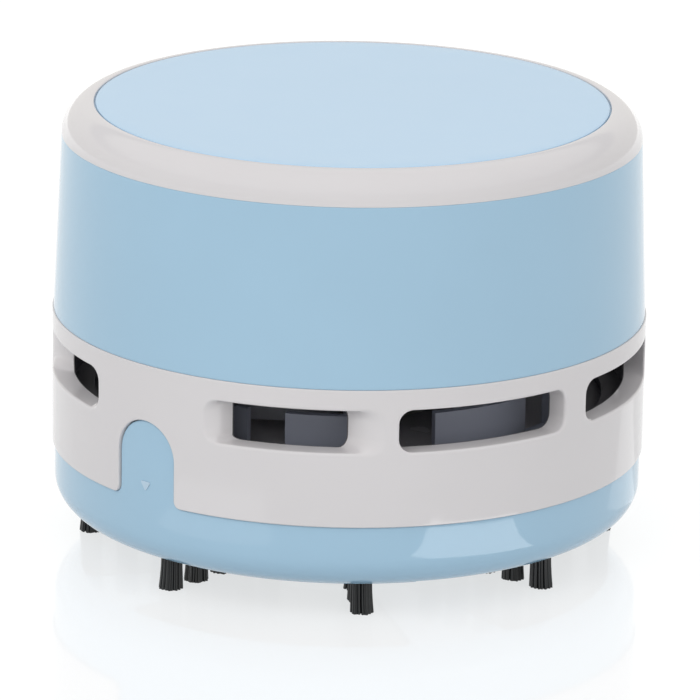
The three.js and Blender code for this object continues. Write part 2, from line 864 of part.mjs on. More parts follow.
// Battery holder: a plate with two troughs for the cells, on four legs that take the housing screws
function troughShape(radius, top) {
  const shape = new THREE.Shape();
  shape.moveTo(radius, top);
  shape.lineTo(-radius, top);
  shape.absarc(0, cellHeight, radius, Math.PI, Math.PI * 2);
  return shape;
}

function placedTrough(radius, top, half, y) {
  const geometry = extruded(troughShape(radius, top), half * 2, arcSteps * 2).applyMatrix4(alongX);
  return solid(geometry.translate(-half, y, 0));
}

const cellPlaces = [-cellSpread, cellSpread];
const holderSpace = turned(
  [
    [0, bandTop],
    [shellRadiusAt(bandTop) - shellWall - fitGap, bandTop],
    [shellRadiusAt(holderTop) - shellWall - fitGap, holderTop],
    [0, holderTop],
  ],
  innerSides,
);
const contactSlotWidth = contactHalfWidth + fitGap;
const strapX = [troughHalf - contactThickness - fitGap, troughHalf];
const tailZ = cellHeight - tailDrop;
const tailX = -troughHalf - tailReach;
let holder = joined(
  disc(bandInner, holderBottom, holderTop, innerSides),
  ...cellPlaces.map((y) => placedTrough(troughOuter, holderTop, troughHalf + troughWall, y)),
  ...postPlaces.map((place) => rod(legRadius, bandTop, cellHeight, screwSides, place)),
);
holder = cut(
  holder.intersect(holderSpace),
  ...cellPlaces.map((y) => placedTrough(troughRadius, holderTop + cutOver, troughHalf, y)),
  ...postPlaces.map((place) => (
    rod(housingScrewRadius + runGap, bandTop - cutOver, screwTip + fitGap, screwSides, place)
  )),
  block(
    strapX,
    [-cellSpread, cellSpread],
    [cellHeight - contactSlotWidth, cellHeight + contactSlotWidth],
  ),
  ...cellPlaces.map((y) => block(
    [tailX, -troughHalf + fitGap],
    [y - tailHalfWidth - fitGap, y + tailHalfWidth + fitGap],
    [tailZ - fitGap, tailZ + contactThickness + fitGap],
  )),
);
add('battery_holder', holder, white);

// Cells: the first points its nub to +X and the second to -X
const cellProfile = [
  [0, 0],
  [cellRadius - cellBevel, 0],
  [cellRadius, cellBevel],
  [cellRadius, cellLength - nubLength - cellBevel],
  [cellRadius - cellBevel, cellLength - nubLength],
  [nubRadius, cellLength - nubLength],
  [nubRadius, cellLength],
  [0, cellLength],
];
const cellPoints = cellProfile.map(([radius, height]) => new THREE.Vector2(radius, height));
const nubX = troughHalf - contactThickness - fitGap;
cellPlaces.forEach((y, i) => {
  const way = y < 0 ? 1 : -1;
  const geometry = new THREE.LatheGeometry(cellPoints, cellSides).rotateZ(-Math.PI / 2);
  if (way < 0) geometry.rotateZ(Math.PI);
  geometry.translate(way * (nubX - cellLength), y, cellHeight);
  add(`battery_${i + 1}`, solid(geometry), cellSkin);
});

// Contacts: a strap that joins the cells at +X, and two tabs with soldering tails at -X
const contactZ = [cellHeight - contactHalfWidth, cellHeight + contactHalfWidth];
const strapHalf = cellSpread + contactHalfWidth;
const strap = block([troughHalf - contactThickness, troughHalf], [-strapHalf, strapHalf], contactZ);
add('bridge_contact', strap, steel);

function tabContact(y) {
  return joined(
    block(
      [-troughHalf, -troughHalf + contactThickness],
      [y - contactHalfWidth, y + contactHalfWidth],
      contactZ,
    ),
    block(
      [tailX, -troughHalf + contactThickness],
      [y - tailHalfWidth, y + tailHalfWidth],
      [tailZ, tailZ + contactThickness],
    ),
  );
}
add('negative_contact', tabContact(-cellSpread), steel);
add('positive_contact', tabContact(cellSpread), steel);

// Contact springs: a conical helix from the contact to the flat end of each cell
class ConeHelix extends THREE.Curve {
  constructor(length) {
    super();
    this.length = length;
  }

  getPoint(share, target = new THREE.Vector3()) {
    const turn = Math.PI * 2 * springTurns * share;
    const radius = springWide + (springNarrow - springWide) * share;
    return target.set(this.length * share, radius * Math.cos(turn), radius * Math.sin(turn));
  }
}

function circleShape(radius, sides) {
  const points = [];
  for (let i = 0; i < sides; i += 1) {
    const turn = (Math.PI * 2 * i) / sides;
    points.push(new THREE.Vector2(radius * Math.cos(turn), radius * Math.sin(turn)));
  }
  return new THREE.Shape(points);
}

const springInset = springWire / 2 + fitGap;
const springLength = springRoom - springInset * 2;
const springPath = new ConeHelix(springLength);
const springSteps = springTurns * springStepsPerTurn;

// The least gap between neighbouring turns, taken on points of the wire's centre line
function leastTurnGap() {
  let least = Infinity;
  for (let i = 0; i <= springSteps; i += 1) {
    for (let j = i + springStepsPerTurn / 2; j <= springSteps; j += 1) {
      const a = springPath.getPoint(i / springSteps);
      const b = springPath.getPoint(j / springSteps);
      least = Math.min(least, a.distanceTo(b) - springWire);
    }
  }
  return least;
}
console.log(`least gap between spring turns: ${leastTurnGap().toFixed(2)} mm`);

cellPlaces.forEach((y, i) => {
  const way = y < 0 ? 1 : -1;
  const geometry = new THREE.ExtrudeGeometry(circleShape(springWire / 2, springSides), {
    steps: springSteps,
    extrudePath: springPath,
    bevelEnabled: false,
  });
  if (way < 0) geometry.rotateZ(Math.PI);
  geometry.translate(way * (-troughHalf + contactThickness + springInset), y, cellHeight);
  add(`battery_spring_${i + 1}`, solid(geometry), steel);
});

// Upper shell: a tapered wall with lugs under the holder, and the switch pocket at the back
const shellWallBody = turned(
  [
    [shellFoot - shellWall, bandTop],
    [shellFoot, bandTop],
    [rimRadius, shellTop],
    [rimRadius - shellWall, shellTop],
  ],
  roundSides,
);
const lugOuter = shellRadiusAt(holderBottom) - shellWall / 2;
const lugInner = shellRadiusAt(holderBottom) - shellWall - lugReach;
const lugs = [0, 90, 180, 270].map((degrees) => {
  const outline = sectorShape(lugInner, lugOuter, degrees - lugAngle / 2, degrees + lugAngle / 2, arcSteps);
  return raised(outline, holderBottom - lugThickness, holderBottom, 1);
});
const padHalf = pocketWidth / 2 + padMargin;
const padReach = pocketHeight / 2 + padMargin;
const padOuter = Math.sqrt(shellRadiusAt(shellTop) ** 2 - padHalf ** 2) - shellWall / 2;
const pad = block(
  [-padHalf, padHalf],
  [padInner, padOuter],
  [switchHeightZ - padReach, switchHeightZ + padReach],
);
const cradles = [-1, 1].map((side) => {
  const near = side * (switchLength / 2 + fitGap);
  const far = near + side * cradleWall;
  return block(
    [Math.min(near, far), Math.max(near, far)],
    [switchBack, padInner + padThickness / 2],
    [switchHeightZ - switchHeight / 2, switchHeightZ + switchHeight / 2],
  );
});
const pocketOutline = roundedRect(
  -pocketWidth / 2,
  pocketWidth / 2,
  switchHeightZ - pocketHeight / 2,
  switchHeightZ + pocketHeight / 2,
  pocketCorner,
);
const slotHalf = (switchTravel + stemWidth) / 2 + fitGap;
const slotRise = stemHeight / 2 + fitGap;
const upperShell = cut(
  joined(shellWallBody, ...lugs, pad, ...cradles),
  carriedAlongY(pocketOutline, pocketFloor, bandBeyond, cornerSteps),
  block(
    [-slotHalf, slotHalf],
    [padInner - cutOver, bandBeyond],
    [switchHeightZ - slotRise, switchHeightZ + slotRise],
  ),
);
add('upper_shell', upperShell, blue);

// Slide switch: a body with a groove and three pins, and the knob that the finger pushes
let switchBody = block(
  [-switchLength / 2, switchLength / 2],
  [switchBack, switchFront],
  [switchHeightZ - switchHeight / 2, switchHeightZ + switchHeight / 2],
);
const pinTop = switchHeightZ - switchHeight / 2 + pinWidth;
const pinBottom = switchHeightZ - switchHeight / 2 - pinLength;
const pinY = (switchBack + switchFront) / 2;
for (const x of [-pinSpacing, 0, pinSpacing]) {
  switchBody = joined(switchBody, block(
    [x - pinWidth / 2, x + pinWidth / 2],
    [pinY - pinWidth / 2, pinY + pinWidth / 2],
    [pinBottom, pinTop],
  ));
}
switchBody = cut(switchBody, block(
  [-slotHalf, slotHalf],
  [switchFront - stemSink - fitGap, switchFront + cutOver],
  [switchHeightZ - slotRise, switchHeightZ + slotRise],
));
add('switch_body', switchBody, darkGrey);

const knobX = -switchTravel / 2;
const knobFace = pocketFloor + fitGap + knobThickness;
const knobRibStep = knobWidth / (knobRibs + 1);
let knob = joined(
  block(
    [knobX - knobWidth / 2, knobX + knobWidth / 2],
    [pocketFloor + fitGap, knobFace],
    [switchHeightZ - knobHeight / 2, switchHeightZ + knobHeight / 2],
  ),
  block(
    [knobX - stemWidth / 2, knobX + stemWidth / 2],
    [switchFront - stemSink, pocketFloor + fitGap + knobThickness / 2],
    [switchHeightZ - stemHeight / 2, switchHeightZ + stemHeight / 2],
  ),
);
for (let i = 1; i <= knobRibs; i += 1) {
  const x = knobX - knobWidth / 2 + knobRibStep * i;
  knob = joined(knob, block(
    [x - knobRibWidth / 2, x + knobRibWidth / 2],
    [knobFace - knobThickness / 2, knobFace + knobRibProud],
    [switchHeightZ - knobHeight / 2 + knobRibWidth, switchHeightZ + knobHeight / 2 - knobRibWidth],
  ));
}
add('switch_knob', knob, white);

// Lid: a rim with a rounded shoulder, a skirt inside the shell and a shelf for the disc
const discBottom = lidTop - discThickness;
const discSeat = rimRadius - rimWidth;
const lidSkirtOuter = rimRadius - shellWall - liftGap;
const lidSkirtBottom = holderTop + liftGap;
const shelfInner = discSeat - shelfWidth;
const rimProfile = [];
for (let i = 0; i <= arcSteps; i += 1) {
  const turn = (Math.PI / 2) * (i / arcSteps);
  rimProfile.push([
    rimRadius - rimWidth * (1 - Math.cos(turn)),
    shellTop + rimHeight * Math.sin(turn),
  ]);
}
rimProfile.push(
  [discSeat, discBottom],
  [shelfInner, discBottom],
  [shelfInner, discBottom - shelfThickness],
  [lidSkirtOuter - lidSkirtWall, discBottom - shelfThickness],
  [lidSkirtOuter - lidSkirtWall, lidSkirtBottom],
  [lidSkirtOuter, lidSkirtBottom],
  [lidSkirtOuter, shellTop],
);
add('lid_rim', turned(rimProfile, roundSides), white);

const collarOuter = shelfInner - fitGap;
const collarInner = collarOuter - discCollarWall;
const discMiddle = discBottom + discThickness / 2;
const lidRibHalf = collarInner - lidRibEndGap;
const lidRibs = [-lidRibSpread, lidRibSpread].map((x) => block(
  [x - lidRibWidth / 2, x + lidRibWidth / 2],
  [-lidRibHalf, lidRibHalf],
  [holderTop + liftGap, discMiddle],
));
const lidDisc = joined(
  disc(discSeat - discGap, discBottom, lidTop, roundSides),
  ring(collarInner, collarOuter, discBottom - discCollarDrop, discMiddle, innerSides),
  ...lidRibs,
);
add('lid_disc', lidDisc, paleBlue);

// Leads, from end to end along their real routes
function lead(places) {
  const path = new THREE.CatmullRomCurve3(places.map((place) => new THREE.Vector3(...place)));
  return solid(new THREE.ExtrudeGeometry(circleShape(leadRadius, leadSides), {
    steps: leadSteps,
    extrudePath: path,
    bevelEnabled: false,
  }));
}

const tailEnd = tailX - fitGap;
const tailMiddle = tailZ + contactThickness / 2;
const terminalEnd = motorHalf + terminalReach + fitGap;
const terminalMiddle = terminalFloor + terminalThickness / 2;
const pinEnd = pinBottom - fitGap;
const batteryLead = [
  [tailEnd, -cellSpread, tailMiddle],
  [-31.7, -18, 45],
  [-33, -14, 45.6],
  [-32, -8, 47],
  [-24, -1, 50],
  [-15.45, 0, 51.5],
  [-terminalEnd, 0, terminalMiddle],
];
add('battery_lead', lead(batteryLead), blackLead);
const switchLead = [
  [tailEnd, cellSpread, tailMiddle],
  [-31.7, 18.8, 44.7],
  [-32.8, 19.4, 41.6],
  [-31, 21.8, 37.5],
  [-26.2, 26.6, 36.5],
  [-14, 33.5, 36.7],
  [-5, 36.1, 37.7],
  [-2.5, 36.31, 40.1],
  [-pinSpacing, pinY, pinEnd],
];
add('switch_lead', lead(switchLead), redLead);
const motorLead = [
  [0, pinY, pinEnd],
  [0, 36.31, 40.1],
  [3, 33.5, 37.3],
  [8, 28, 36.3],
  [13, 19, 36.3],
  [17, 9, 37.6],
  [19.5, 3.6, 43],
  [17.45, 0.4, 49.6],
  [15.45, 0, 51.5],
  [terminalEnd, 0, terminalMiddle],
];
add('motor_lead', lead(motorLead), redLead);

export default vacuum;
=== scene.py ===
"""Desktop mini vacuum cleaner: the looks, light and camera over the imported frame."""
import json
import math
import random

import bmesh
import bpy
import numpy as np
from mathutils import Matrix, Vector
from mathutils.geometry import delaunay_2d_cdt


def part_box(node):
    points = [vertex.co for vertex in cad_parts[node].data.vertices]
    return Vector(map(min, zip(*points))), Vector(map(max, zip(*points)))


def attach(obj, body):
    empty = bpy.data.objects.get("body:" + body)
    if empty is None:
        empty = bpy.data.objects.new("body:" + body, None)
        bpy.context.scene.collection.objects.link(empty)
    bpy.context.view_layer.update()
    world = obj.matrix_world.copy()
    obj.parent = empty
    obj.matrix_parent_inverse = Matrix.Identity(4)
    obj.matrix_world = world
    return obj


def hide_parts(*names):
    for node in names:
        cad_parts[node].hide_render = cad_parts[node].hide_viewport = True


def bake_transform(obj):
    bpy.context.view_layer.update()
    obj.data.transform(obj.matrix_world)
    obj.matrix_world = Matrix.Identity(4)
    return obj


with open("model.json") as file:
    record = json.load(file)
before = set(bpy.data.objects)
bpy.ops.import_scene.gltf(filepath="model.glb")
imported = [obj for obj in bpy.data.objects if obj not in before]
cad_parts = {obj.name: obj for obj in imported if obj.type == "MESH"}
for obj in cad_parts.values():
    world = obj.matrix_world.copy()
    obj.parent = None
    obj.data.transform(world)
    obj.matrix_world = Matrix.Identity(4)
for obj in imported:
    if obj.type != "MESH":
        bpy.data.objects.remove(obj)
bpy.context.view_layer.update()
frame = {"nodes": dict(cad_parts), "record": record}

# Sizes in millimetres. Heights come from the frame's nodes, and the rest repeats the part's own sizes.
MM = 0.001
SEGMENTS = 192


def bottom(node):
    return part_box(node)[0][2] / MM


def top(node):
    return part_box(node)[1][2] / MM


BASE_BOTTOM, BASE_TOP = bottom("base_tray"), top("base_tray")
BAND_TOP, SHELL_TOP, LID_TOP = top("exhaust_band"), top("upper_shell"), top("lid_rim")
STRIP_TOP, PLATE_TOP, BAFFLE_TOP = top("brush_strip_1"), top("fan_inlet_plate"), top("exhaust_baffle")
SKIRT_BOTTOM, TONGUE_TOP, RIB_BOTTOM = bottom("exhaust_band"), top("release_tongue"), bottom("lid_disc")
BAND_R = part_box("exhaust_band")[1][0] / MM
BASE_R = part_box("base_tray")[1][0] / MM
RIM_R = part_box("lid_rim")[1][0] / MM
GAP = 0.3
BASE_WALL, BASE_FILLET, TRAY_FLOOR = 2.2, 4.5, 2.0
BASE_INNER, FLOOR_TOP = BASE_R - BASE_WALL, BASE_BOTTOM + TRAY_FLOOR
INLET_R, CHIMNEY_R, CHIMNEY_RISE = 11.5, 12.9, 5.7
CHIMNEY_TOP = FLOOR_TOP + CHIMNEY_RISE
TONGUE_HALF, TONGUE_WALL, TONGUE_FLARE, SLOT_GAP = 5.15, 1.6, 1.2, 0.12
TONGUE_EASE, TONGUE_BEND, FOOT_MARGIN = 0.6, (0.05, 1.65), 0.3
MARK_WIDTH, MARK_HEIGHT, MARK_RISE, MARK_CORNER, MARK_SUNK, MARK_PROUD = 2.0, 1.4, 1.4, 0.22, 0.3, 0.12
STRIPS, ROW_ANGLE, TUFTS_PER_ROW, TUFT_RADIUS = 4, 45, 5, 1.15
STRIP_TURN = 360 / STRIPS
TUFT_EDGE, TUFT_INSET, STRIP_MARGIN, STRIP_SIDE_MARGIN = 5.4, 4.8, 0.35, 2.6
OUTER_TUFT, INNER_TUFT = BASE_R - TUFT_EDGE, INLET_R + TUFT_INSET
STRIP_OUTER = OUTER_TUFT + TUFT_RADIUS + STRIP_MARGIN
STRIP_INNER = INNER_TUFT - TUFT_RADIUS - STRIP_MARGIN
STRIP_SIDE = math.degrees(STRIP_SIDE_MARGIN / STRIP_INNER)
BAND_DRAFT, BAND_WALL, BAND_LIP, FLANGE = 0.05, 3.1, 1.0, 1.2
BAND_INNER = BAND_R - BAND_WALL
WINDOW_SILL, WINDOW_LINTEL, WINDOW_CORNER = 10.7, 2.95, 1.9
WINDOW_Z = (BASE_TOP + WINDOW_SILL, BAND_TOP - WINDOW_LINTEL)
END_WINDOW, END_TURN, SIDE_WINDOW = (14.15, 45.95), 3.8, (51.4, 86.9)
SKIRT, SKIRT_RISE, SKIRT_CORNER = (38.1, 39.5), 1.65, 0.3
LEDGE, LEDGE_SUNK = 36.4, 0.05
BAFFLE, BAFFLE_FOOT, BAFFLE_SUNK = (32.5, 33.7), 1.2, 0.2
BAFFLE_SECTORS, BAFFLE_HALF, BAFFLE_TURN = 10, 13.2, 3.8
SHELL_SETBACK, SHELL_DRAFT, SHELL_WALL = 0.18, 1.05, 1.8
RIM_WIDTH, RIM_HEIGHT, RIM_SKIRT = 4.6, LID_TOP - SHELL_TOP, (3.55, 2.2)
DISC, SHELF_WIDTH, SHELF, COLLAR_WIDTH, COLLAR = 2.3, 3, 1.5, 1.5, 1.3
RIB_PLACE, RIB_HALF, RIB_REACH, RIB_SUNK = 12, 0.7, 26, 0.1
TONGUE_FILLET, BAND_FOOT_FILLET, JOINT_FILLET, POCKET_FILLET = 0.22, 0.18, 0.12, 0.4


def band_radius(z):
    return BAND_R - BAND_DRAFT * (BAND_TOP - z) / (BAND_TOP - BASE_TOP)


def shell_radius(z):
    return BAND_R - SHELL_SETBACK - SHELL_DRAFT * (z - BAND_TOP) / (SHELL_TOP - BAND_TOP)


# Mesh building

CORNER_SHARE, STRAIGHT_CORNER, NOTHING = 0.48, math.radians(88), 1e-6
FILLET_STEPS, CORNER_STEPS, ARC_STEPS, FOOT_STEPS, RIM_STEPS = 5, 4, 6, 12, 24
STRIP_STEPS, SECTOR_STEPS = 24, 16
# In metres, as the meshes are made in them
WELD, DEGENERATE = 2e-6, 1e-7
# The flat margin between a rounded edge and the sheet beside it
SUPPORT = 0.2
# A sheet's inner points: how far apart they lie both ways, and their least distance to an outline
PLAIN_SPACING, BASE_SPACING, BAND_SPACING = ((2.5, 2.5), 0.8), ((2.0, 1.6), 0.9), ((2.0, 2.0), 0.8)
SHELL_SPACING, POCKET_SPACING = ((2.2, 2.2), 0.8), ((1.5, 1.5), 0.4)


def place(radius, degrees, z):
    """A point at an angle from the tongue, positive towards the right."""
    a = math.radians(degrees)
    return (radius * math.sin(a), -radius * math.cos(a), z)


def circle(radius):
    return [place(radius, 360 * i / SEGMENTS, 0)[:2] for i in range(SEGMENTS)]


def sector(inner, outer, angles):
    """The outline of a piece of a ring."""
    return [place(outer, a, 0)[:2] for a in angles] + [place(inner, a, 0)[:2] for a in angles[::-1]]


def rectangle(x0, x1, z0, z1):
    return [(x0, z0), (x1, z0), (x1, z1), (x0, z1)]


def arc(cx, cy, radius, start, end, steps):
    """Points round (cx, cy) from one angle to another, in degrees, ends included."""
    turns = np.radians(np.linspace(start, end, steps + 1))
    return [(cx + radius * math.cos(t), cy + radius * math.sin(t)) for t in turns]


def line(a, b, step):
    """Points from a to b no further apart than step, without the last."""
    n = max(1, math.ceil(math.dist(a, b) / step - NOTHING))
    return [(a[0] + (b[0] - a[0]) * i / n, a[1] + (b[1] - a[1]) * i / n) for i in range(n)]


def rounded(profile, radii):
    """A closed outline with its corners rounded. radii is one number, or one for each corner."""
    if not hasattr(radii, "__len__"):
        radii = [radii] * len(profile)
    out = []
    for i, (corner, radius) in enumerate(zip(profile, radii)):
        p = Vector(corner)
        a, b = Vector(profile[i - 1]) - p, Vector(profile[(i + 1) % len(profile)]) - p
        if radius <= 0 or a.length < NOTHING or b.length < NOTHING:
            out.append(tuple(p))
            continue
        room = min(a.length, b.length) * CORNER_SHARE
        a.normalize()
        b.normalize()
        half = math.acos(max(-1.0, min(1.0, a.dot(b)))) / 2
        if half > STRAIGHT_CORNER:
            out.append(tuple(p))
            continue
        reach = min(radius / math.tan(half), room)
        start, end = p + a * reach, p + b * reach
        for k in range(CORNER_STEPS + 1):
            t = k / CORNER_STEPS
            out.append(tuple(start * (1 - t) ** 2 + p * 2 * t * (1 - t) + end * t * t))
    return out


class Body:
    """Collects points and faces in millimetres, and makes one object of them."""

    def __init__(self):
        self.points, self.faces = [], []

    def add(self, points, faces):
        first = len(self.points)
        self.points.extend(points)
        self.faces.extend([tuple(i + first for i in f) for f in faces])
        return self

    def rows(self, rows, closed=True):
        """A sheet through rows of as many points each."""
        n = len(rows[0])
        faces = []
        for r in range(len(rows) - 1):
            for i in range(n if closed else n - 1):
                j = (i + 1) % n
                faces.append((r * n + i, r * n + j, (r + 1) * n + j, (r + 1) * n + i))
        return self.add([p for row in rows for p in row], faces)

    def revolve(self, profile, closed=True):
        """A profile of (radius, height) turned round the axis."""
        turns = circle(1)
        points = profile + profile[:1] if closed else profile
        return self.rows([[(r * x, r * y, z) for x, y in turns] for r, z in points])

    def box(self, low, high):
        (x0, y0, z0), (x1, y1, z1) = low, high
        points = [(x, y, z) for x in (x0, x1) for y in (y0, y1) for z in (z0, z1)]
        return self.add(points, [
            (0, 1, 3, 2), (4, 6, 7, 5), (0, 4, 5, 1), (2, 3, 7, 6), (0, 2, 6, 4), (1, 5, 7, 3),
        ])

    def prism(self, outline, low, high, to_point):
        """A closed outline carried from one height to another, with ends."""
        a = [to_point(p, low) for p in outline]
        b = [to_point(p, high) for p in outline]
        n = len(outline)
        self.rows([a, b])
        return self.add(a + b, [tuple(range(n)), tuple(range(2 * n - 1, n - 1, -1))])

    def flat(self, outline, holes, z):
        """A level sheet between outlines of (x, y)."""
        return self.add(*skin(outline, holes, PLAIN_SPACING, lambda p, d: (p[0], p[1], z)))

    def make(self, name, body, finish, slot, replaces=(), sharp=35):
        mesh = bpy.data.meshes.new(name)
        mesh.from_pydata([Vector(p) * MM for p in self.points], [], self.faces)
        bm = bmesh.new()
        bm.from_mesh(mesh)
        bmesh.ops.remove_doubles(bm, verts=bm.verts, dist=WELD)
        bmesh.ops.dissolve_degenerate(bm, edges=bm.edges, dist=DEGENERATE)
        bmesh.ops.recalc_face_normals(bm, faces=bm.faces)
        bm.to_mesh(mesh)
        bm.free()
        mesh.polygons.foreach_set("use_smooth", [True] * len(mesh.polygons))
        mesh.set_sharp_from_angle(angle=math.radians(sharp))
        obj = bpy.data.objects.new(name, mesh)
        bpy.context.scene.collection.objects.link(obj)
        mesh.materials.append(finish)
        if body:
            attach(obj, body)
        if replaces:
            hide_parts(*replaces)
        return obj


def inside(points, outline):
    """Which points lie inside a closed outline."""
    x, y = points[:, 0], points[:, 1]
    hit = np.zeros(len(points), bool)
    for (x0, y0), (x1, y1) in zip(outline, outline[1:] + outline[:1]):
        if y0 == y1:
            continue
        across = (y0 > y) != (y1 > y)
        hit ^= across & (x < (x1 - x0) * (y - y0) / (y1 - y0) + x0)
    return hit


def gap_to(points, outline):
    """The least distance from each point to an outline's points."""
    o = np.array(outline)
    across, along = (points[:, None, i] - o[None, :, i] for i in (0, 1))
    return np.min(np.hypot(across, along), axis=1)


def skin(outline, holes, spacing, to_point):
    """An even sheet of triangles inside a flat outline, clear of its holes, carried into space."""
    step, clear = spacing
    o = np.array(outline)
    (x0, y0), (x1, y1) = o.min(0), o.max(0)
    nx, ny = max(2, round((x1 - x0) / step[0])), max(2, round((y1 - y0) / step[1]))
    grid = np.array([(x0 + (x1 - x0) * (i + 0.5 * (j % 2)) / nx, y0 + (y1 - y0) * j / ny)
                     for j in range(1, ny) for i in range(nx)])
    keep = inside(grid, outline) & (gap_to(grid, outline) > clear)
    for hole in holes:
        keep &= ~inside(grid, hole) & (gap_to(grid, hole) > clear)
    points, edges = [], []
    for loop in [outline, *holes]:
        first, n = len(points), len(loop)
        points.extend(loop)
        edges.extend((first + i, first + (i + 1) % n) for i in range(n))
    points.extend(map(tuple, grid[keep]))
    made, _, faces, *_ = delaunay_2d_cdt([Vector(p) for p in points], edges, [], 0, DEGENERATE)
    flat = np.array([tuple(p) for p in made])
    middles = np.array([flat[list(f)].mean(0) for f in faces])
    good = inside(middles, outline)
    for hole in holes:
        good &= ~inside(middles, hole)
    return [to_point(tuple(p), 0.0) for p in flat], [tuple(f) for f, ok in zip(faces, good) if ok]


def normals_of(points, closed):
    """Unit normals on the left of a line of points."""
    p = np.array(points)
    if closed:
        run = np.roll(p, -1, 0) - np.roll(p, 1, 0)
    else:
        run = np.gradient(p, axis=0)
    run /= np.linalg.norm(run, axis=1)[:, None]
    return np.stack([-run[:, 1], run[:, 0]], 1)


def rim_rows(points, closed, fillet, to_point):
    """The rows of a rounded edge that turns in from a sheet, and the outline that the sheet ends on.

    The material is on the left of the line, and fillet is the edge's radius."""
    p, n = np.array(points), normals_of(points, closed)
    sheet = p + n * (fillet + SUPPORT)
    rows = [[to_point(tuple(q), 0.0) for q in sheet]]
    for k in range(FILLET_STEPS + 1):
        a = math.pi / 2 * k / FILLET_STEPS
        edge = p + n * (fillet * (1 - math.sin(a)))
        rows.append([to_point(tuple(q), fillet * (1 - math.cos(a))) for q in edge])
    return rows, [tuple(q) for q in sheet]


def round_rim(chain, fillet, to_point):
    """rim_rows of a line right round the wall, with the ends of its sheet on the seam."""
    rows, sheet = rim_rows(chain, False, fillet, to_point)
    sheet[0], sheet[-1] = (chain[0][0], sheet[0][1]), (chain[-1][0], sheet[-1][1])
    return rows, sheet


def wrapped(radius, way=1):
    """Carries (arc length at the band's radius, height) and a depth onto a round wall.

    The arc starts at the tongue, or with way at -1 at the back."""
    def to_point(p, depth):
        a = p[0] / BAND_R
        r = radius(p[1]) - depth
        return (r * math.sin(a), -way * r * math.cos(a), p[1])
    return to_point


def arc_length(degrees):
    return math.radians(degrees) * BAND_R


HALF_TURN = arc_length(180)
STEP = 2 * HALF_TURN / SEGMENTS


def straight(z, start, end):
    """Points along a level line at the same places as a revolved sheet's."""
    first, last = round(start / STEP), round(end / STEP)
    way = 1 if last > first else -1
    return [(i * STEP, z) for i in range(first, last + way, way)]


def beside_tongue(chain, half):
    """The points of a line round the wall that lie to the left and to the right of the tongue's foot."""
    left = [p for p in chain if p[0] < -half - FOOT_MARGIN]
    right = [p for p in chain if p[0] > half + FOOT_MARGIN]
    return left, right


EDGE_STEP, ROUND_TOP_STEPS = 1.0, 24


def tongue_line(grow):
    """From right to left over the tongue: its outline, or with grow that of the slot round it."""
    half, flare = TONGUE_HALF + grow, TONGUE_FLARE - grow
    centre = TONGUE_TOP - TONGUE_HALF
    foot = BASE_TOP + flare
    out = arc(half + flare, foot, flare, -90, -180, ARC_STEPS)
    out += line((half, foot), (half, centre), EDGE_STEP)[1:]
    out += arc(0, centre, half, 0, 180, ROUND_TOP_STEPS)
    out += line((-half, centre), (-half, foot), EDGE_STEP)[1:]
    out += arc(-half - flare, foot, flare, 0, -90, ARC_STEPS)
    return out


def rounded_window(u0, u1, z0, z1, corner):
    """A window's outline, counter-clockwise, in arc length and height."""
    a0, a1, b0, b1 = u0 + corner, u1 - corner, z0 + corner, z1 - corner
    out = [(a0, z0)]
    for i, (start, end, centre) in enumerate((
        ((a0, z0), (a1, z0), (a1, b0)),
        ((u1, b0), (u1, b1), (a1, b1)),
        ((a1, z1), (a0, z1), (a0, b1)),
        ((u0, b1), (u0, b0), (a0, b0)),
    )):
        out += line(start, end, EDGE_STEP)[1:]
        out += arc(*centre, corner, 90 * (i - 1), 90 * i, ARC_STEPS)
    return out[:-1]


# Materials

def colour(hex_code):
    """A linear colour from its sRGB code."""
    parts = [int(hex_code[i:i + 2], 16) / 255 for i in (1, 3, 5)]
    return [c / 12.92 if c <= 0.04045 else ((c + 0.055) / 1.055) ** 2.4 for c in parts] + [1.0]


def link(tree, source, target):
    tree.links.new(source, target)


def node(tree, kind, **values):
    made = tree.nodes.new(kind)
    for key, value in values.items():
        if key in made.inputs:
            made.inputs[key].default_value = value
        else:
            setattr(made, key, value)
    return made


def noise(tree, where, scale, detail, stretch=None):
    """A noise pattern. scale is in features a metre, and stretch scales the axes."""
    if stretch:
        mapping = node(tree, "ShaderNodeMapping", Scale=stretch)
        link(tree, where, mapping.inputs["Vector"])
        where = mapping.outputs["Vector"]
    made = node(tree, "ShaderNodeTexNoise", Scale=scale, Detail=detail)
    link(tree, where, made.inputs["Vector"])
    return made.outputs["Fac"]


def both(tree, a, b, operation):
    """One number from two by a Math node."""
    made = node(tree, "ShaderNodeMath", operation=operation)
    link(tree, a, made.inputs[0])
    link(tree, b, made.inputs[1])
    return made.outputs[0]


def ranged(tree, value, low, high, start=0.3, end=0.7):
    """Carries the range from start to end to low and high. The defaults hold most of a noise."""
    made = node(tree, "ShaderNodeMapRange")
    for key, number in (("From Min", start), ("From Max", end), ("To Min", low), ("To Max", high)):
        made.inputs[key].default_value = number
    link(tree, value, made.inputs["Value"])
    return made.outputs["Result"]


COLOUR_A, COLOUR_B, COLOUR_OUT = 6, 7, 2


def mixed(tree, factor, a, b):
    """From colour a to colour b by a factor, each a value or a socket."""
    made = node(tree, "ShaderNodeMix", data_type="RGBA")
    for socket, value in ((COLOUR_A, a), (COLOUR_B, b)):
        if hasattr(value, "node"):
            link(tree, value, made.inputs[socket])
        else:
            made.inputs[socket].default_value = value
    link(tree, factor, made.inputs[0])
    return made.outputs[COLOUR_OUT]


def ramped(tree, value, stops, steps="LINEAR"):
    """Colours by a value from 0 to 1."""
    made = tree.nodes.new("ShaderNodeValToRGB")
    made.color_ramp.interpolation = steps
    ramp = made.color_ramp.elements
    for i, (share, tint) in enumerate(stops):
        stop = ramp[0] if i == 0 else ramp.new(share)
        stop.position, stop.color = share, (*tint[:3], 1)
    ramp.remove(ramp[-1])
    link(tree, value, made.inputs["Fac"])
    return made.outputs["Color"]


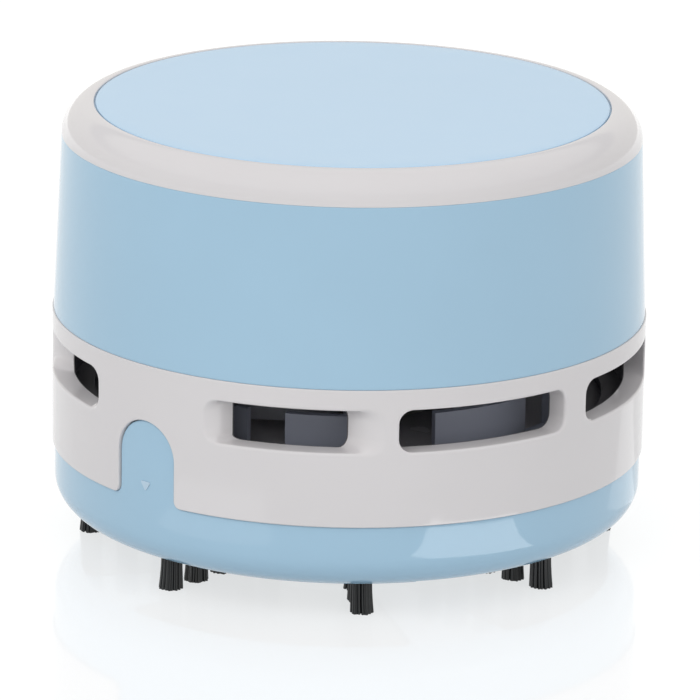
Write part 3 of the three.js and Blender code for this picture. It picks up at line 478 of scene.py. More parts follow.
def shades(base, share):
    """Two shades a little darker and a little lighter than a colour."""
    darker = [c * (1 - share) for c in base[:3]]
    lighter = [min(1, c * (1 + share)) for c in base[:3]]
    return darker + [1], lighter + [1]


WEAR_SCALE, DRIFT_DETAIL, WEAR_DETAIL, GRAIN_DETAIL = 6, 3.0, 4.0, 2.0


def finish(name, code, rough, vary=0.02, patch=28, grain=1500, bump=0.06, depth=0.00001, stretch=None,
           rough_vary=0.03, **sockets):
    """A moulded or worked surface: slow shade drift, uneven gloss and fine grain.

    patch and grain are the drift's and the grain's features a metre. depth is in metres."""
    made = bpy.data.materials.new(name)
    made.use_nodes = True
    tree = made.node_tree
    shader = tree.nodes["Principled BSDF"]
    where = node(tree, "ShaderNodeTexCoord").outputs["Object"]
    low, high = shades(colour(code), vary)
    drift = noise(tree, where, patch, DRIFT_DETAIL)
    link(tree, mixed(tree, ranged(tree, drift, 0, 1), low, high), shader.inputs["Base Color"])
    wear = noise(tree, where, patch * WEAR_SCALE, WEAR_DETAIL, stretch)
    link(tree, ranged(tree, wear, rough - rough_vary, rough + rough_vary), shader.inputs["Roughness"])
    fine = noise(tree, where, grain, GRAIN_DETAIL, stretch)
    relief = node(tree, "ShaderNodeBump", Strength=bump, Distance=depth)
    link(tree, fine, relief.inputs["Height"])
    link(tree, relief.outputs["Normal"], shader.inputs["Normal"])
    for key, value in sockets.items():
        shader.inputs[key.replace("_", " ")].default_value = value
    return made


# Painted shade: the dark colour and the matt roughness put where shade falls behind the windows
INNER_PAINTED_SHADE, INNER_ROUGHNESS = colour("#5d5b5c"), 0.9
# How far the painted shade reaches: below the plate's top, below the flange, and out past its radius
BEHIND_UNDER, BEHIND_OVER, BEHIND_OUT = 0.2, 0.05, 0.12
BEHIND_Z = (PLATE_TOP - BEHIND_UNDER, BAND_TOP - FLANGE - BEHIND_OVER)


def paint_shade_behind(made, low, high):
    """Painted shade behind the windows: dark and matt between two radii, over the fan's plate."""
    tree = made.node_tree
    where = tree.nodes["Texture Coordinate"].outputs["Object"]
    level = node(tree, "ShaderNodeVectorMath", operation="MULTIPLY")
    level.inputs[1].default_value = (1, 1, 0)
    link(tree, where, level.inputs[0])
    radius = node(tree, "ShaderNodeVectorMath", operation="LENGTH")
    link(tree, level.outputs[0], radius.inputs[0])
    height = node(tree, "ShaderNodeSeparateXYZ")
    link(tree, where, height.inputs[0])
    painted_shade_mask = None
    for source, bounds in ((radius.outputs["Value"], (low, high)), (height.outputs["Z"], BEHIND_Z)):
        for operation, bound in zip(("GREATER_THAN", "LESS_THAN"), bounds):
            test = node(tree, "ShaderNodeMath", operation=operation)
            test.inputs[1].default_value = bound * MM
            link(tree, source, test.inputs[0])
            painted_shade_mask = both(tree, painted_shade_mask, test.outputs[0], "MULTIPLY") if painted_shade_mask else test.outputs[0]
    shader = tree.nodes["Principled BSDF"]
    base, rough = shader.inputs["Base Color"], shader.inputs["Roughness"]
    link(tree, mixed(tree, painted_shade_mask, base.links[0].from_socket, INNER_PAINTED_SHADE), base)
    matt = ranged(tree, painted_shade_mask, 0, INNER_ROUGHNESS, 0, 1)
    link(tree, both(tree, rough.links[0].from_socket, matt, "MAXIMUM"), rough)


blue = finish("blue_plastic_gloss", "#9ec0d6", 0.06, rough_vary=0.01, IOR=1.5)
mark_blue = finish("mark_pale_gloss", "#b4cbdc", 0.2, IOR=1.5)
pale_blue = finish("pale_blue_plastic_satin", "#b4d1e8", 0.3, vary=0.008, bump=0.02, rough_vary=0.01,
                   IOR=1.5)
white = finish("white_plastic_gloss", "#d3d0d1", 0.07, rough_vary=0.01, IOR=1.5)
# The band's and the fan plate's white plastic, each with painted shade behind the windows
band_white_painted_shade = finish("white_plastic_band_painted_shade", "#d3d0d1", 0.07, rough_vary=0.01, IOR=1.5)
paint_shade_behind(band_white_painted_shade, 0, BAND_INNER + BEHIND_OUT)
plate_white_painted_shade = finish("white_plastic_plate_painted_shade", "#d3d0d1", 0.25, IOR=1.6)
paint_shade_behind(plate_white_painted_shade, BAFFLE[0], BAND_R)
# Painted light: a lighter copy of the grey plastic, so that the impeller and the motor deck behind the
# windows read brighter
inner_grey_painted_light = finish("grey_plastic_inner_painted_light", "#c2c4cb", 0.42, vary=0.05, grain=2600, bump=0.2)
grey = finish("grey_plastic_satin", "#9296a4", 0.42, vary=0.05, grain=2600, bump=0.2)
dark = finish("dark_plastic_matt", "#2b2c2f", 0.5, vary=0.08, grain=2600, bump=0.25)
nylon = finish("bristle_nylon_black", "#0f1316", 0.36, vary=0.25, patch=900, grain=6000, bump=0.2,
               stretch=(1, 1, 0.05))
steel = finish("steel_plated", "#c3c5c8", 0.28, vary=0.05, patch=90, grain=3000, bump=0.15, Metallic=1.0)
brass = finish("brass_plain", "#c9a95d", 0.3, vary=0.06, patch=120, grain=2500, bump=0.12, Metallic=1.0)
felt = finish("filter_felt_white", "#e3e2dc", 0.95, vary=0.06, patch=260, grain=1600, bump=0.9,
              depth=0.0002)
ferrite = finish("ferrite_grey", "#3b3c40", 0.6, vary=0.12, patch=300, grain=2200, bump=0.5)
red_lead = finish("lead_red", "#b3302a", 0.42, vary=0.06, patch=200, grain=1800, bump=0.1)
black_lead = finish("lead_black", "#202124", 0.42, vary=0.12, patch=200, grain=1800, bump=0.1)

# Where each band of a cell's sleeve starts, as a share of its length, and its colour
CELL_BANDS = ((0.0, "#c3c5c8"), (0.02, "#34393f"), (0.7, "#b0713f"), (0.965, "#c3c5c8"))


def cell_sleeve(way):
    """A foil sleeve in plain bands: bare steel ends, charcoal, and copper towards the nub."""
    side = "right" if way > 0 else "left"
    made = finish(f"cell_sleeve_{side}", "#3a4047", 0.3, vary=0.08, patch=160, Metallic=0.7)
    tree = made.node_tree
    along = node(tree, "ShaderNodeSeparateXYZ")
    link(tree, tree.nodes["Texture Coordinate"].outputs["Object"], along.inputs[0])
    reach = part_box("battery_1")[1][0]
    share = ranged(tree, along.outputs["X"], 0, 1, -way * reach, way * reach)
    bands = ramped(tree, share, [(start, colour(code)) for start, code in CELL_BANDS], "CONSTANT")
    link(tree, bands, tree.nodes["Principled BSDF"].inputs["Base Color"])
    return made


by_slot = {
    "blue_plastic": blue, "pale_blue_plastic": pale_blue, "white_plastic": white, "grey_plastic": grey,
    "dark_plastic": dark, "bristle_nylon": nylon, "steel": steel, "brass": brass, "filter_felt": felt,
    "magnet_ferrite": ferrite, "red_lead": red_lead, "black_lead": black_lead,
}


# Base tray and release tongue, one moulding

TRAY_SOFT = 0.3
# The tray's inner corner: in from the wall, and up from the floor
TRAY_CORNER = ((TRAY_SOFT, 1.4), (1.3, TRAY_SOFT), (2.5, 0))


def base_and_tongue():
    """The tray and the tongue on it, as one mesh."""
    body = Body()
    # The level rim runs to the tongue's foot on the sheet's own steps
    left, right = beside_tongue(straight(BASE_TOP, -HALF_TURN, HALF_TURN), TONGUE_HALF + TONGUE_FLARE)
    edge = right[::-1] + tongue_line(0.0) + left[::-1]
    outer = wrapped(lambda z: BASE_R)
    rows, sheet = round_rim(edge, TONGUE_FILLET, outer)
    foot = BASE_BOTTOM + BASE_FILLET
    low = straight(foot, -HALF_TURN, HALF_TURN)
    body.add(*skin(low + sheet, [], BASE_SPACING, outer))

    def wall(z):
        """The inner face: the tray's, and over the rim the thinner tongue's."""
        t = min(1, max(0, (z - BASE_TOP) / TONGUE_EASE))
        return BASE_INNER + (BASE_R - TONGUE_WALL - BASE_INNER) * t

    inner = wrapped(wall)
    rows.append([inner(p, 0.0) for p in edge])
    body.rows(rows, closed=False)
    body.add(*skin(low + edge, [], BASE_SPACING, inner))
    body.revolve([
        (BASE_R - BASE_FILLET * (1 - math.sin(t)), foot - BASE_FILLET * math.cos(t))
        for t in np.linspace(0, math.pi / 2, FOOT_STEPS + 1)
    ], closed=False)
    recesses = [strip_outline(GAP, STRIP_TURN * i) for i in range(STRIPS)]
    body.flat(circle(BASE_R - BASE_FILLET), [circle(INLET_R), *recesses], BASE_BOTTOM)
    for outline in recesses:
        body.rows([[(x, y, z) for x, y in outline] for z in (BASE_BOTTOM, STRIP_TOP)])
        body.add([(x, y, STRIP_TOP) for x, y in outline], [tuple(range(len(outline)))])
    body.revolve([
        (BASE_INNER, foot),
        *((BASE_INNER - inward, FLOOR_TOP + rise) for inward, rise in TRAY_CORNER),
        (CHIMNEY_R + 2 * TRAY_SOFT, FLOOR_TOP),
        (CHIMNEY_R, FLOOR_TOP + 2 * TRAY_SOFT),
        (CHIMNEY_R, CHIMNEY_TOP - TRAY_SOFT),
        (CHIMNEY_R - TRAY_SOFT, CHIMNEY_TOP),
        (INLET_R + TRAY_SOFT, CHIMNEY_TOP),
        (INLET_R, CHIMNEY_TOP - TRAY_SOFT),
        (INLET_R, BASE_BOTTOM),
    ], closed=False)
    obj = body.make("base_moulding", None, blue, "blue_plastic", ["base_tray", "release_tongue"])
    start, end = [(BASE_TOP + rise) * MM for rise in TONGUE_BEND]
    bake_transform(obj)

    low_z, high_z = BASE_TOP + MARK_RISE, BASE_TOP + MARK_RISE + MARK_HEIGHT
    mark = rounded([(0, low_z), (MARK_WIDTH / 2, high_z), (-MARK_WIDTH / 2, high_z)], MARK_CORNER)
    mark_body = Body().prism(mark, MARK_SUNK, -MARK_PROUD, outer)
    mark_body.make("tongue_mark", "tongue", mark_blue, "blue_plastic")


def strip_outline(grow, turn):
    """A brush strip's outline, or with grow that of its recess in the tray."""
    side = STRIP_SIDE + math.degrees(grow / STRIP_INNER)
    angles = np.linspace(-side, ROW_ANGLE + side, STRIP_STEPS + 1) + turn
    return sector(STRIP_INNER - grow, STRIP_OUTER + grow, angles)


# Bristles

STRANDS, STRAND_R, STRAND_WIDER = 120, 0.165, 0.2
STRAND_SIDES = (0, 1.2566, 2.5133, 3.7699, 5.0265)
GOLDEN_TURN, TURN_SPREAD = 2.39996, 0.25
TUFT_LEAN, TUFT_FLARE, TUFT_SPLAY = 0.14, (0.12, 0.3), 0.22
LEAN_BEND, FLARE_BEND = 2, 1.5
# A strand's root lies in the tray. Its middle rings are shares of the tray's height over the floor
ROOT_SUNK, MIDDLE_RINGS, TIP_SPREADS = 0.3, (0.66, 0.33), (0.08, 0.16)


def tuft(body, spread, cx, cy):
    """One bundle of strands, splayed a little towards the floor, with nearly even tips."""
    lean = Vector((spread.uniform(-TUFT_LEAN, TUFT_LEAN), spread.uniform(-TUFT_LEAN, TUFT_LEAN)))
    flare = spread.uniform(*TUFT_FLARE)
    for k in range(STRANDS):
        share = math.sqrt((k + 0.5) / STRANDS)
        turn = k * GOLDEN_TURN + spread.uniform(-TURN_SPREAD, TURN_SPREAD)
        out = Vector((math.cos(turn), math.sin(turn)))
        tip = spread.choice([0, 0, *(spread.uniform(0, most) for most in TIP_SPREADS)])
        rows = []
        for z in (BASE_BOTTOM + ROOT_SUNK, *(BASE_BOTTOM * ring for ring in MIDDLE_RINGS), tip):
            down = max(0.0, BASE_BOTTOM - z) / BASE_BOTTOM
            reach = TUFT_RADIUS + TUFT_SPLAY + flare * down ** FLARE_BEND
            c = Vector((cx, cy)) + out * share * reach + lean * down ** LEAN_BEND
            r = STRAND_R * (1 + STRAND_WIDER * down)
            rows.append([(c.x + r * math.cos(t), c.y + r * math.sin(t), z) for t in STRAND_SIDES])
        body.rows(rows)
        body.add(rows[-1], [tuple(range(len(STRAND_SIDES)))])


def bristles():
    spread = random.Random(7)
    for strip in range(STRIPS):
        turn = STRIP_TURN * strip
        body = Body()
        body.prism(strip_outline(0.0, turn), BASE_BOTTOM, STRIP_TOP, lambda p, z: (p[0], p[1], z))
        for row in (0, ROW_ANGLE):
            for radius in np.linspace(OUTER_TUFT, INNER_TUFT, TUFTS_PER_ROW):
                tuft(body, spread, *place(radius, turn + row, 0)[:2])
        replaced = [f"brush_strip_{strip + 1}"]
        body.make(f"bristles_{strip + 1}", "base", nylon, "bristle_nylon", replaced, sharp=60)


# Exhaust band

def window_angles():
    """Each window's ends, as the angle at the outer face and the one at the inner face."""
    def along_x(angle):
        return math.degrees(math.acos(BAND_R * math.cos(math.radians(angle)) / BAND_INNER))

    near, far = END_WINDOW
    end_window = ((near, near + END_TURN), (far, along_x(far)))
    side_window = tuple((a, along_x(a)) for a in SIDE_WINDOW)
    # Both are mirrored to the other side and to the back
    for window in (end_window, side_window):
        for way in (1, -1):
            for start in (0, 180):
                yield sorted(tuple(way * abs(start - a) for a in end) for end in window)


# Millimetres of a window's round: all over, and more at front ends, on leaning walls and at side ends
EDGE_SOFT, END_SOFT, LEAN_SOFT, SIDE_SOFT = 0.4, 1.9, 1.2, 0.2
# Front and back windows lie within this angle of the tongue or of the back
FRONT_HALF = 45
ROUND_MOST, FACET_LEAST = 0.9, 0.001
# The near end of a front window: millimetres out from the edge, and shares of the way across and in
FACETS = (
    (0.7, 0.53, 0.39, 0.17, 0.0, 0.0, 0.0, 0.0, 0.0),
    (0.0, 0.0, 0.0, 0.0, 0.16, 0.443, 0.532, 0.603, 0.709),
    (0.0, 0.003, 0.019, 0.065, 0.19, 0.348, 0.406, 0.477, 0.62),
)
NEAR_CORNER = 0.3


def window_rows(ends, outer, inner):
    """The soft-edged wall of one window, with the loops that the outer and the inner sheets end on."""
    (a0, b0), (a1, b1) = ends
    loop = np.array(rounded_window(arc_length(a0), arc_length(a1), *WINDOW_Z, WINDOW_CORNER)[::-1])
    share = (loop[:, 0] - arc_length(a0)) / (arc_length(a1) - arc_length(a0))
    back = np.stack([arc_length(b0) + arc_length(b1 - b0) * share, loop[:, 1]], 1)
    run, n = back - loop, normals_of(loop, True)
    # How far the wall leans out of the window's way, which widens the round into it
    lean = np.maximum(0, -(run * n).sum(1) / BAND_WALL)
    ends_only = n[:, 0] ** 2
    centre = (a0 + a1) / 2
    near = np.zeros(len(loop))
    if min(abs(centre), 180 - abs(centre)) > FRONT_HALF:
        reach = EDGE_SOFT + SIDE_SOFT * ends_only
    else:
        # A front window fades into the post at its far end, and has two facets at its near end
        outward = n[:, 0] * np.sign(math.sin(math.radians(2 * centre)))
        reach = EDGE_SOFT + END_SOFT * ends_only * (outward > 0)
        near = ends_only * (outward < 0)
        for i in np.nonzero(near > FACET_LEAST)[0]:
            tip_z = WINDOW_Z[0] if back[i, 1] < sum(WINDOW_Z) / 2 else WINDOW_Z[1]
            if abs(back[i, 1] - tip_z) < WINDOW_CORNER:
                back[i, 1] = tip_z + (back[i, 1] - tip_z) * NEAR_CORNER
    length = np.hypot(np.hypot(run[:, 0], run[:, 1]), BAND_WALL)
    stop = np.minimum(ROUND_MOST, (reach + LEAN_SOFT * lean * (reach - EDGE_SOFT)) / length)
    run = back - loop
    sheet = loop + n * (reach * (1 - near) + FACETS[0][0] * near + SUPPORT)[:, None]
    rows = [[outer(tuple(p), 0.0) for p in sheet]]
    for t, out, across, depth in zip(np.linspace(0, 1, len(FACETS[0])), *FACETS):
        way_out = reach * (1 - t) ** 2 * (1 - near) + out * near
        way_across = stop * t * t * (1 - near) + across * near
        way_in = stop * t * t * (1 - near) + depth * near
        p = loop + n * way_out[:, None] + run * way_across[:, None]
        rows.append([outer(tuple(s), d) for s, d in zip(p, BAND_WALL * way_in)])
    p = loop + run * ((1 + way_across) / 2)[:, None]
    rows.append([outer(tuple(s), d) for s, d in zip(p, BAND_WALL * (1 + way_in) / 2)])
    inner_loop = [tuple(q) for q in back]
    rows.append([inner(q, 0.0) for q in inner_loop])
    return rows, [tuple(p) for p in sheet], inner_loop


def exhaust_band():
    body = Body()
    outer, inner = wrapped(band_radius), wrapped(lambda z: BAND_INNER)
    lip = wrapped(lambda z: BAND_R - BAND_LIP)
    chain = straight(BASE_TOP, -HALF_TURN, HALF_TURN)
    left, right = beside_tongue(chain, TONGUE_HALF + TONGUE_FLARE + SLOT_GAP)
    # The lower edge runs from left to right round the tongue's slot, with the material on its left
    lower = left + tongue_line(SLOT_GAP)[::-1] + right
    rows, low_sheet = round_rim(lower, BAND_FOOT_FILLET, outer)
    rows.append([inner(p, 0.0) for p in lower])
    body.rows(rows, closed=False)
    upper = straight(BAND_TOP, HALF_TURN, -HALF_TURN)
    rows, top_sheet = round_rim(upper, JOINT_FILLET, outer)
    step_edge = [(p[0], BAND_TOP - FLANGE) for p in upper]
    for to_point, edge in ((lip, upper), (lip, step_edge), (inner, step_edge)):
        rows.append([to_point(p, 0.0) for p in edge])
    body.rows(rows, closed=False)
    sheets, holes = [], []
    for ends in window_angles():
        rows, sheet, inner_loop = window_rows(ends, outer, inner)
        body.rows(rows)
        sheets.append(sheet)
        holes.append(inner_loop)
    body.add(*skin(low_sheet + top_sheet, sheets, BAND_SPACING, outer))
    body.add(*skin(lower + step_edge, holes, PLAIN_SPACING, inner))
    skirt = rectangle(*SKIRT, SKIRT_BOTTOM, BASE_TOP + SKIRT_RISE)
    body.revolve(rounded(skirt, [SKIRT_CORNER, SKIRT_CORNER, 0, 0]))
    body.revolve(rectangle(LEDGE, BAND_INNER + LEDGE_SUNK, PLATE_TOP, PLATE_TOP + FLANGE))
    body.make("exhaust_band_moulding", "housing", band_white_painted_shade, "white_plastic", ["exhaust_band"])


def exhaust_baffle():
    body = Body()
    foot_top = PLATE_TOP + BAFFLE_FOOT
    body.revolve(rectangle(*BAFFLE, PLATE_TOP, foot_top))
    across = np.linspace(-BAFFLE_HALF, BAFFLE_HALF, SECTOR_STEPS + 1)
    for i in range(BAFFLE_SECTORS):
        outline = sector(*BAFFLE, across + BAFFLE_TURN + 360 / BAFFLE_SECTORS * i)
        body.prism(outline, foot_top - BAFFLE_SUNK, BAFFLE_TOP, lambda p, z: (p[0], p[1], z))
    body.make("exhaust_baffle_ring", "housing", grey, "grey_plastic", ["exhaust_baffle"])


# Upper shell with the switch pocket

SWITCH_Z = (bottom("switch_knob") + top("switch_knob")) / 2
# Half the width and half the height, with the corner's radius or the thickness
POCKET, SWITCH_SLOT, PAD = (7.5, 3.5, 2.0), (3.6, 1.4, 0.2), (8.7, 4.7, 1.6)
PAD_SUNK = 0.2


def shell_inside(z):
    return shell_radius(z) - SHELL_WALL


def upper_shell():
    body = Body()
    outer = wrapped(shell_radius)
    inner = wrapped(shell_inside)
    sheets = []
    for z, start in ((BAND_TOP, -HALF_TURN), (SHELL_TOP, HALF_TURN)):
        chain = straight(z, start, -start)
        rows, sheet = round_rim(chain, JOINT_FILLET, outer)
        rows.append([inner(p, 0.0) for p in chain])
        body.rows(rows, closed=False)
        sheets += sheet
    body.revolve([(shell_inside(z), z) for z in (BAND_TOP, SHELL_TOP)], closed=False)

    # The pocket is drawn as seen from behind, so the sheet's seam lies at the tongue's side
    behind = wrapped(shell_radius, -1)
    half, rise, corner = POCKET
    floor = shell_inside(SWITCH_Z)
    outline = rounded_window(-half, half, SWITCH_Z - rise, SWITCH_Z + rise, corner)[::-1]
    loop = [(BAND_R * math.asin(x / shell_radius(z)), z) for x, z in outline]
    rows, hole = rim_rows(loop, True, POCKET_FILLET, behind)
    rows.append([(p[0], floor, p[1]) for p in outline])
    body.rows(rows)
    x, z, corner = SWITCH_SLOT
    slot = rounded(rectangle(-x, x, SWITCH_Z - z, SWITCH_Z + z), corner)
    body.add(*skin(outline, [slot], POCKET_SPACING, lambda p, d: (p[0], floor, p[1])))
    wide, tall, thick = PAD
    pad_y, pad_z = (floor - thick, floor - PAD_SUNK), (SWITCH_Z - tall, SWITCH_Z + tall)
    body.rows([[(p[0], y, p[1]) for p in slot] for y in (floor, pad_y[0])])
    body.add(*skin(sheets, [hole], SHELL_SPACING, behind))
    for side in (-1, 1):
        near, far = sorted((side * x, side * wide))
        body.box((near, pad_y[0], pad_z[0]), (far, pad_y[1], pad_z[1]))
    body.make("upper_shell_moulding", "housing", blue, "blue_plastic", ["upper_shell"])


# Lid

# Steps of the ring's and the disc's edge along their seam: in from the edge, and down from the top
RING_EDGE = ((0.17, 0.01), (0.05, 0.06), (0, 0.18))
DISC_EDGE = ((0.35, 0), (0.17, 0.03), (0.05, 0.1), (0, 0.45))
DISC_SEAM, SEAM_FLOOR, DISC_PLAY = 0.2, 0.47, 0.02


def lid():
    seat = RIM_R - RIM_WIDTH
    shelf = seat - SHELF_WIDTH
    disc_bottom = LID_TOP - DISC
    shelf_bottom = disc_bottom - SHELF
    skirt = [RIM_R - inward for inward in RIM_SKIRT]
    curve = [
        (RIM_R - RIM_WIDTH * (1 - math.cos(t)), SHELL_TOP + RIM_HEIGHT * math.sin(t))
        for t in np.linspace(0, math.pi / 2, RIM_STEPS + 1)
    ]
    Body().revolve(curve[:-1] + [
        *((seat + inward, LID_TOP - down) for inward, down in RING_EDGE),
        (seat, disc_bottom),
        (shelf, disc_bottom),
        (shelf, shelf_bottom),
        (skirt[0], shelf_bottom),
        (skirt[0], RIB_BOTTOM),
        (skirt[1], RIB_BOTTOM),
        (skirt[1], SHELL_TOP),
    ]).make("lid_rim_moulding", "lid", white, "white_plastic", ["lid_rim"])

    edge, disc_side = seat - DISC_SEAM, seat - DISC_PLAY
    collar, collar_bottom = (shelf - COLLAR_WIDTH, shelf - GAP), disc_bottom - COLLAR
    body = Body()
    body.flat(circle(edge - DISC_EDGE[0][0]), [], LID_TOP)
    body.revolve([
        *((edge - inward, LID_TOP - down) for inward, down in DISC_EDGE),
        (disc_side, LID_TOP - SEAM_FLOOR),
        (disc_side, disc_bottom),
        (collar[1], disc_bottom),
        (collar[1], collar_bottom),
        (collar[0], collar_bottom),
        (collar[0], disc_bottom),
    ], closed=False)
    body.flat(circle(collar[0]), [], disc_bottom)
    for x in (-RIB_PLACE, RIB_PLACE):
        rib_top = disc_bottom + RIB_SUNK
        body.box((x - RIB_HALF, -RIB_REACH, RIB_BOTTOM), (x + RIB_HALF, RIB_REACH, rib_top))
    body.make("lid_disc_moulding", "lid", pale_blue, "pale_blue_plastic", ["lid_disc"])


# CAD nodes that stay: smooth rounds, crisp edges and their own materials

ROUND_ANGLE, BEVEL_WIDTH, BEVEL_STEPS = math.radians(38), 0.12, 2


def smoother():
    """A modifier tree that welds a faceted solid and shades its round faces smooth."""
    tree = bpy.data.node_groups.new("smooth_rounds", "GeometryNodeTree")
    tree.interface.new_socket("Geometry", in_out="INPUT", socket_type="NodeSocketGeometry")
    tree.interface.new_socket("Geometry", in_out="OUTPUT", socket_type="NodeSocketGeometry")
    start, end = tree.nodes.new("NodeGroupInput"), tree.nodes.new("NodeGroupOutput")
    weld = node(tree, "GeometryNodeMergeByDistance", Distance=WELD)
    angle = tree.nodes.new("GeometryNodeInputMeshEdgeAngle")
    flat = node(tree, "FunctionNodeCompare", operation="LESS_THAN", data_type="FLOAT")
    flat.inputs[1].default_value = ROUND_ANGLE
    faces = node(tree, "GeometryNodeSetShadeSmooth", domain="FACE")
    edges = node(tree, "GeometryNodeSetShadeSmooth", domain="EDGE")
    edges.inputs["Shade Smooth"].default_value = False
    link(tree, start.outputs[0], weld.inputs["Geometry"])
    link(tree, weld.outputs[0], faces.inputs["Geometry"])
    link(tree, faces.outputs[0], edges.inputs["Geometry"])
    link(tree, angle.outputs["Unsigned Angle"], flat.inputs[0])
    turned = node(tree, "FunctionNodeBooleanMath", operation="NOT")
    link(tree, flat.outputs[0], turned.inputs[0])
    link(tree, turned.outputs[0], edges.inputs["Selection"])
    link(tree, edges.outputs[0], end.inputs[0])
    return tree


def dress_nodes():
    rounds = smoother()
    by_node = {
        # The fan plate takes the white with painted shade behind the windows
        "battery_1": cell_sleeve(1), "battery_2": cell_sleeve(-1), "fan_inlet_plate": plate_white_painted_shade,
        # The impeller and the motor deck take the lighter grey, which paints light on them
        "impeller": inner_grey_painted_light, "motor_deck": inner_grey_painted_light,
    }
    slots = {s["node"]: s["material_slot"] for s in frame["record"]["subparts"]}
    for name, obj in frame["nodes"].items():
        if obj.hide_render:
            continue
        obj.data.materials.clear()
        obj.data.materials.append(by_node.get(name) or by_slot[slots[name]])
        if "custom_normal" in obj.data.attributes:
            obj.data.attributes.remove(obj.data.attributes["custom_normal"])
        modifier = obj.modifiers.new("rounds", "NODES")
        modifier.node_group = rounds
        if not name.endswith("_lead") and "spring" not in name:
            edge = obj.modifiers.new("edges", "BEVEL")
            edge.width, edge.segments = BEVEL_WIDTH * MM, BEVEL_STEPS
            edge.limit_method, edge.angle_limit = "ANGLE", ROUND_ANGLE


# Floor, sky, light and camera

FLOOR_REACH, FLOOR_ROUGHNESS, FLOOR_IOR = 3.0, 0.06, 1.4
# The floor as it lights the object, as it is seen, and the tint of its glow
FLOOR_LIT, FLOOR_SHADE, FLOOR_GLOW = (0.82, 0.83, 0.84, 1), (0.225, 0.215, 0.21, 1), (0.97, 0.99, 1, 1)
# How strong the floor's glow and the sky are, with and without what only lights the object
GLOW_STRENGTH, SKY_STRENGTH = (0, 0.72), (0.77, 1.0)
SKY_WHITE, SKY_WARM, SKY_BAND = (1, 1, 1), (0.98, 0.96, 0.92), (0.62, 0.62, 0.64)
# Tints of the sky as the gloss sees it, by the sine of the height over the horizon
SKY_TINTS = ((0, SKY_WARM), (0.37, SKY_WARM), (0.41, SKY_BAND), (0.48, SKY_BAND), (0.53, SKY_WHITE))
# Soft lamps that the gloss doesn't show: name, place, size and power, in metres and watts
LAMPS = (
    ("key", (0.0, -1.25, 1.05), 1.2, 7.6),
    ("fill", (1.45, -0.05, 0.95), 1.2, 4.6),
)
LAMP_TARGET = (0, 0, 0.03)
# Low panels that face up and show in the gloss alone, in millimetres and watts
GLOSS_PANELS = (
    ("panel_right", (66.0, -16.0), (22.0, 36.0), 0.0058),
    ("panel_front", (5.0, -80.0), (44.0, 26.0), 0.002),
    ("panel_back_right", (38.0, 68.0), (20.0, 64.0), 0.0014),
)
PANEL_HEIGHT = 1.0


def seen_ray(tree):
    """1 for camera and glossy rays, 0 for the rays that light the object."""
    rays = tree.nodes.new("ShaderNodeLightPath").outputs
    return both(tree, rays["Is Camera Ray"], rays["Is Glossy Ray"], "MAXIMUM")


def lay_floor():
    """A near-white glossy floor. What is seen of it glows, so that the shadow on it stays light."""
    made = bpy.data.materials.new("floor_pale")
    made.use_nodes = True
    tree = made.node_tree
    shader = tree.nodes["Principled BSDF"]
    seen = seen_ray(tree)
    link(tree, mixed(tree, seen, FLOOR_LIT, FLOOR_SHADE), shader.inputs["Base Color"])
    shader.inputs["Roughness"].default_value = FLOOR_ROUGHNESS
    shader.inputs["IOR"].default_value = FLOOR_IOR
    shader.inputs["Emission Color"].default_value = FLOOR_GLOW
    link(tree, ranged(tree, seen, *GLOW_STRENGTH, 0, 1), shader.inputs["Emission Strength"])
    mesh = bpy.data.meshes.new("floor")
    corners = rectangle(-FLOOR_REACH, FLOOR_REACH, -FLOOR_REACH, FLOOR_REACH)
    mesh.from_pydata([(x, y, 0) for x, y in corners], [], [(0, 1, 2, 3)])
    mesh.materials.append(made)
    obj = bpy.data.objects.new("floor", mesh)
    bpy.context.scene.collection.objects.link(obj)


def paint_sky():
    """White for the light, with one soft grey band in the gloss."""
    world = bpy.data.worlds.new("studio")
    bpy.context.scene.world = world
    world.use_nodes = True
    tree = world.node_tree
    background = tree.nodes["Background"]
    glossy = tree.nodes.new("ShaderNodeLightPath").outputs["Is Glossy Ray"]
    height = node(tree, "ShaderNodeSeparateXYZ")
    link(tree, tree.nodes.new("ShaderNodeTexCoord").outputs["Generated"], height.inputs[0])
    sky = ramped(tree, height.outputs["Z"], SKY_TINTS)
    link(tree, mixed(tree, glossy, (*SKY_WHITE, 1), sky), background.inputs["Color"])
    link(tree, ranged(tree, seen_ray(tree), *SKY_STRENGTH, 0, 1), background.inputs["Strength"])


def area_lamp(name, at, power, size, size_y=None):
    data = bpy.data.lights.new(name, "AREA")
    data.size, data.energy = size, power
    if size_y:
        data.shape, data.size_y = "RECTANGLE", size_y
    lamp = bpy.data.objects.new(name, data)
    bpy.context.scene.collection.objects.link(lamp)
    lamp.location = at
    return lamp


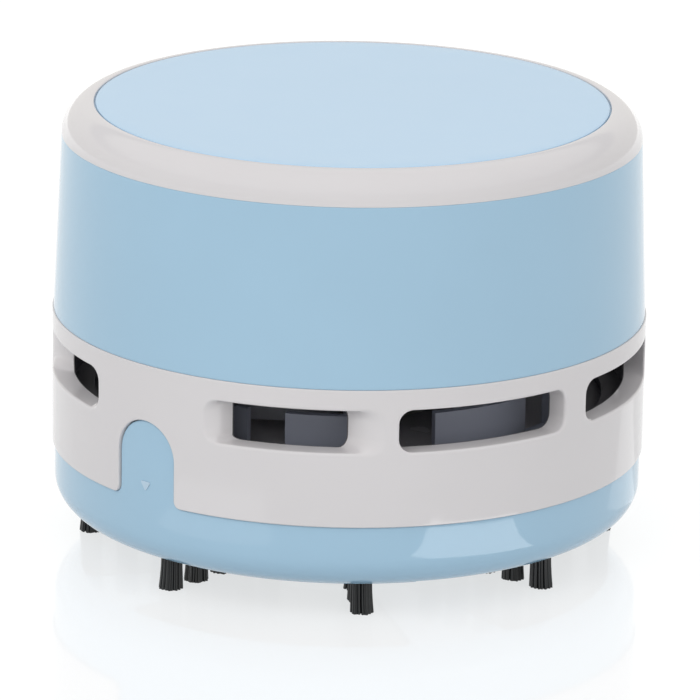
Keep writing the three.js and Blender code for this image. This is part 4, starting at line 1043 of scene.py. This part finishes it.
def set_lights():
    for name, at, size, power in LAMPS:
        lamp = area_lamp(name, at, power, size)
        towards = Vector(LAMP_TARGET) - Vector(at)
        lamp.rotation_euler = towards.to_track_quat("-Z", "Y").to_euler()
        lamp.visible_glossy = False
    for name, (x, y), (size_x, size_y), power in GLOSS_PANELS:
        at = (x * MM, y * MM, PANEL_HEIGHT * MM)
        panel = area_lamp(name, at, power, size_x * MM, size_y * MM)
        panel.rotation_euler = (math.pi, 0, 0)
        panel.visible_camera = False
        panel.visible_diffuse = False


FOCAL_PIXELS, FRAME_PIXELS, SHIFT_PIXELS = 5923, 700, 1.3
AZIMUTH, ELEVATION, ROLL = math.radians(41.45), math.radians(16.47), math.radians(-0.95)
CAMERA_DISTANCE, TARGET_Z, SENSOR_WIDTH = 0.85, 0.02702, 36.0
NEAR_CLIP, FAR_CLIP = 0.05, 20


def camera():
    data = bpy.data.cameras.new("camera")
    data.sensor_width, data.lens = SENSOR_WIDTH, FOCAL_PIXELS / FRAME_PIXELS * SENSOR_WIDTH
    data.shift_x = SHIFT_PIXELS / FRAME_PIXELS
    data.clip_start, data.clip_end = NEAR_CLIP, FAR_CLIP
    cam = bpy.data.objects.new("camera", data)
    bpy.context.scene.collection.objects.link(cam)
    level, rise = math.cos(ELEVATION), math.sin(ELEVATION)
    back = Vector((math.sin(AZIMUTH) * level, -math.cos(AZIMUTH) * level, rise))
    right = Vector((math.cos(AZIMUTH), math.sin(AZIMUTH), 0))
    up = back.cross(right)
    rolled_right = right * math.cos(ROLL) - up * math.sin(ROLL)
    rolled_up = right * math.sin(ROLL) + up * math.cos(ROLL)
    spin = Matrix((rolled_right, rolled_up, back)).transposed().to_4x4()
    cam.matrix_world = Matrix.Translation(Vector((0, 0, TARGET_Z)) + back * CAMERA_DISTANCE) @ spin
    bpy.context.scene.camera = cam
    bpy.context.scene.view_settings.view_transform = "Standard"


camera()
lay_floor()
paint_sky()
set_lights()
base_and_tongue()
bristles()
exhaust_band()
exhaust_baffle()
upper_shell()
lid()
dress_nodes()
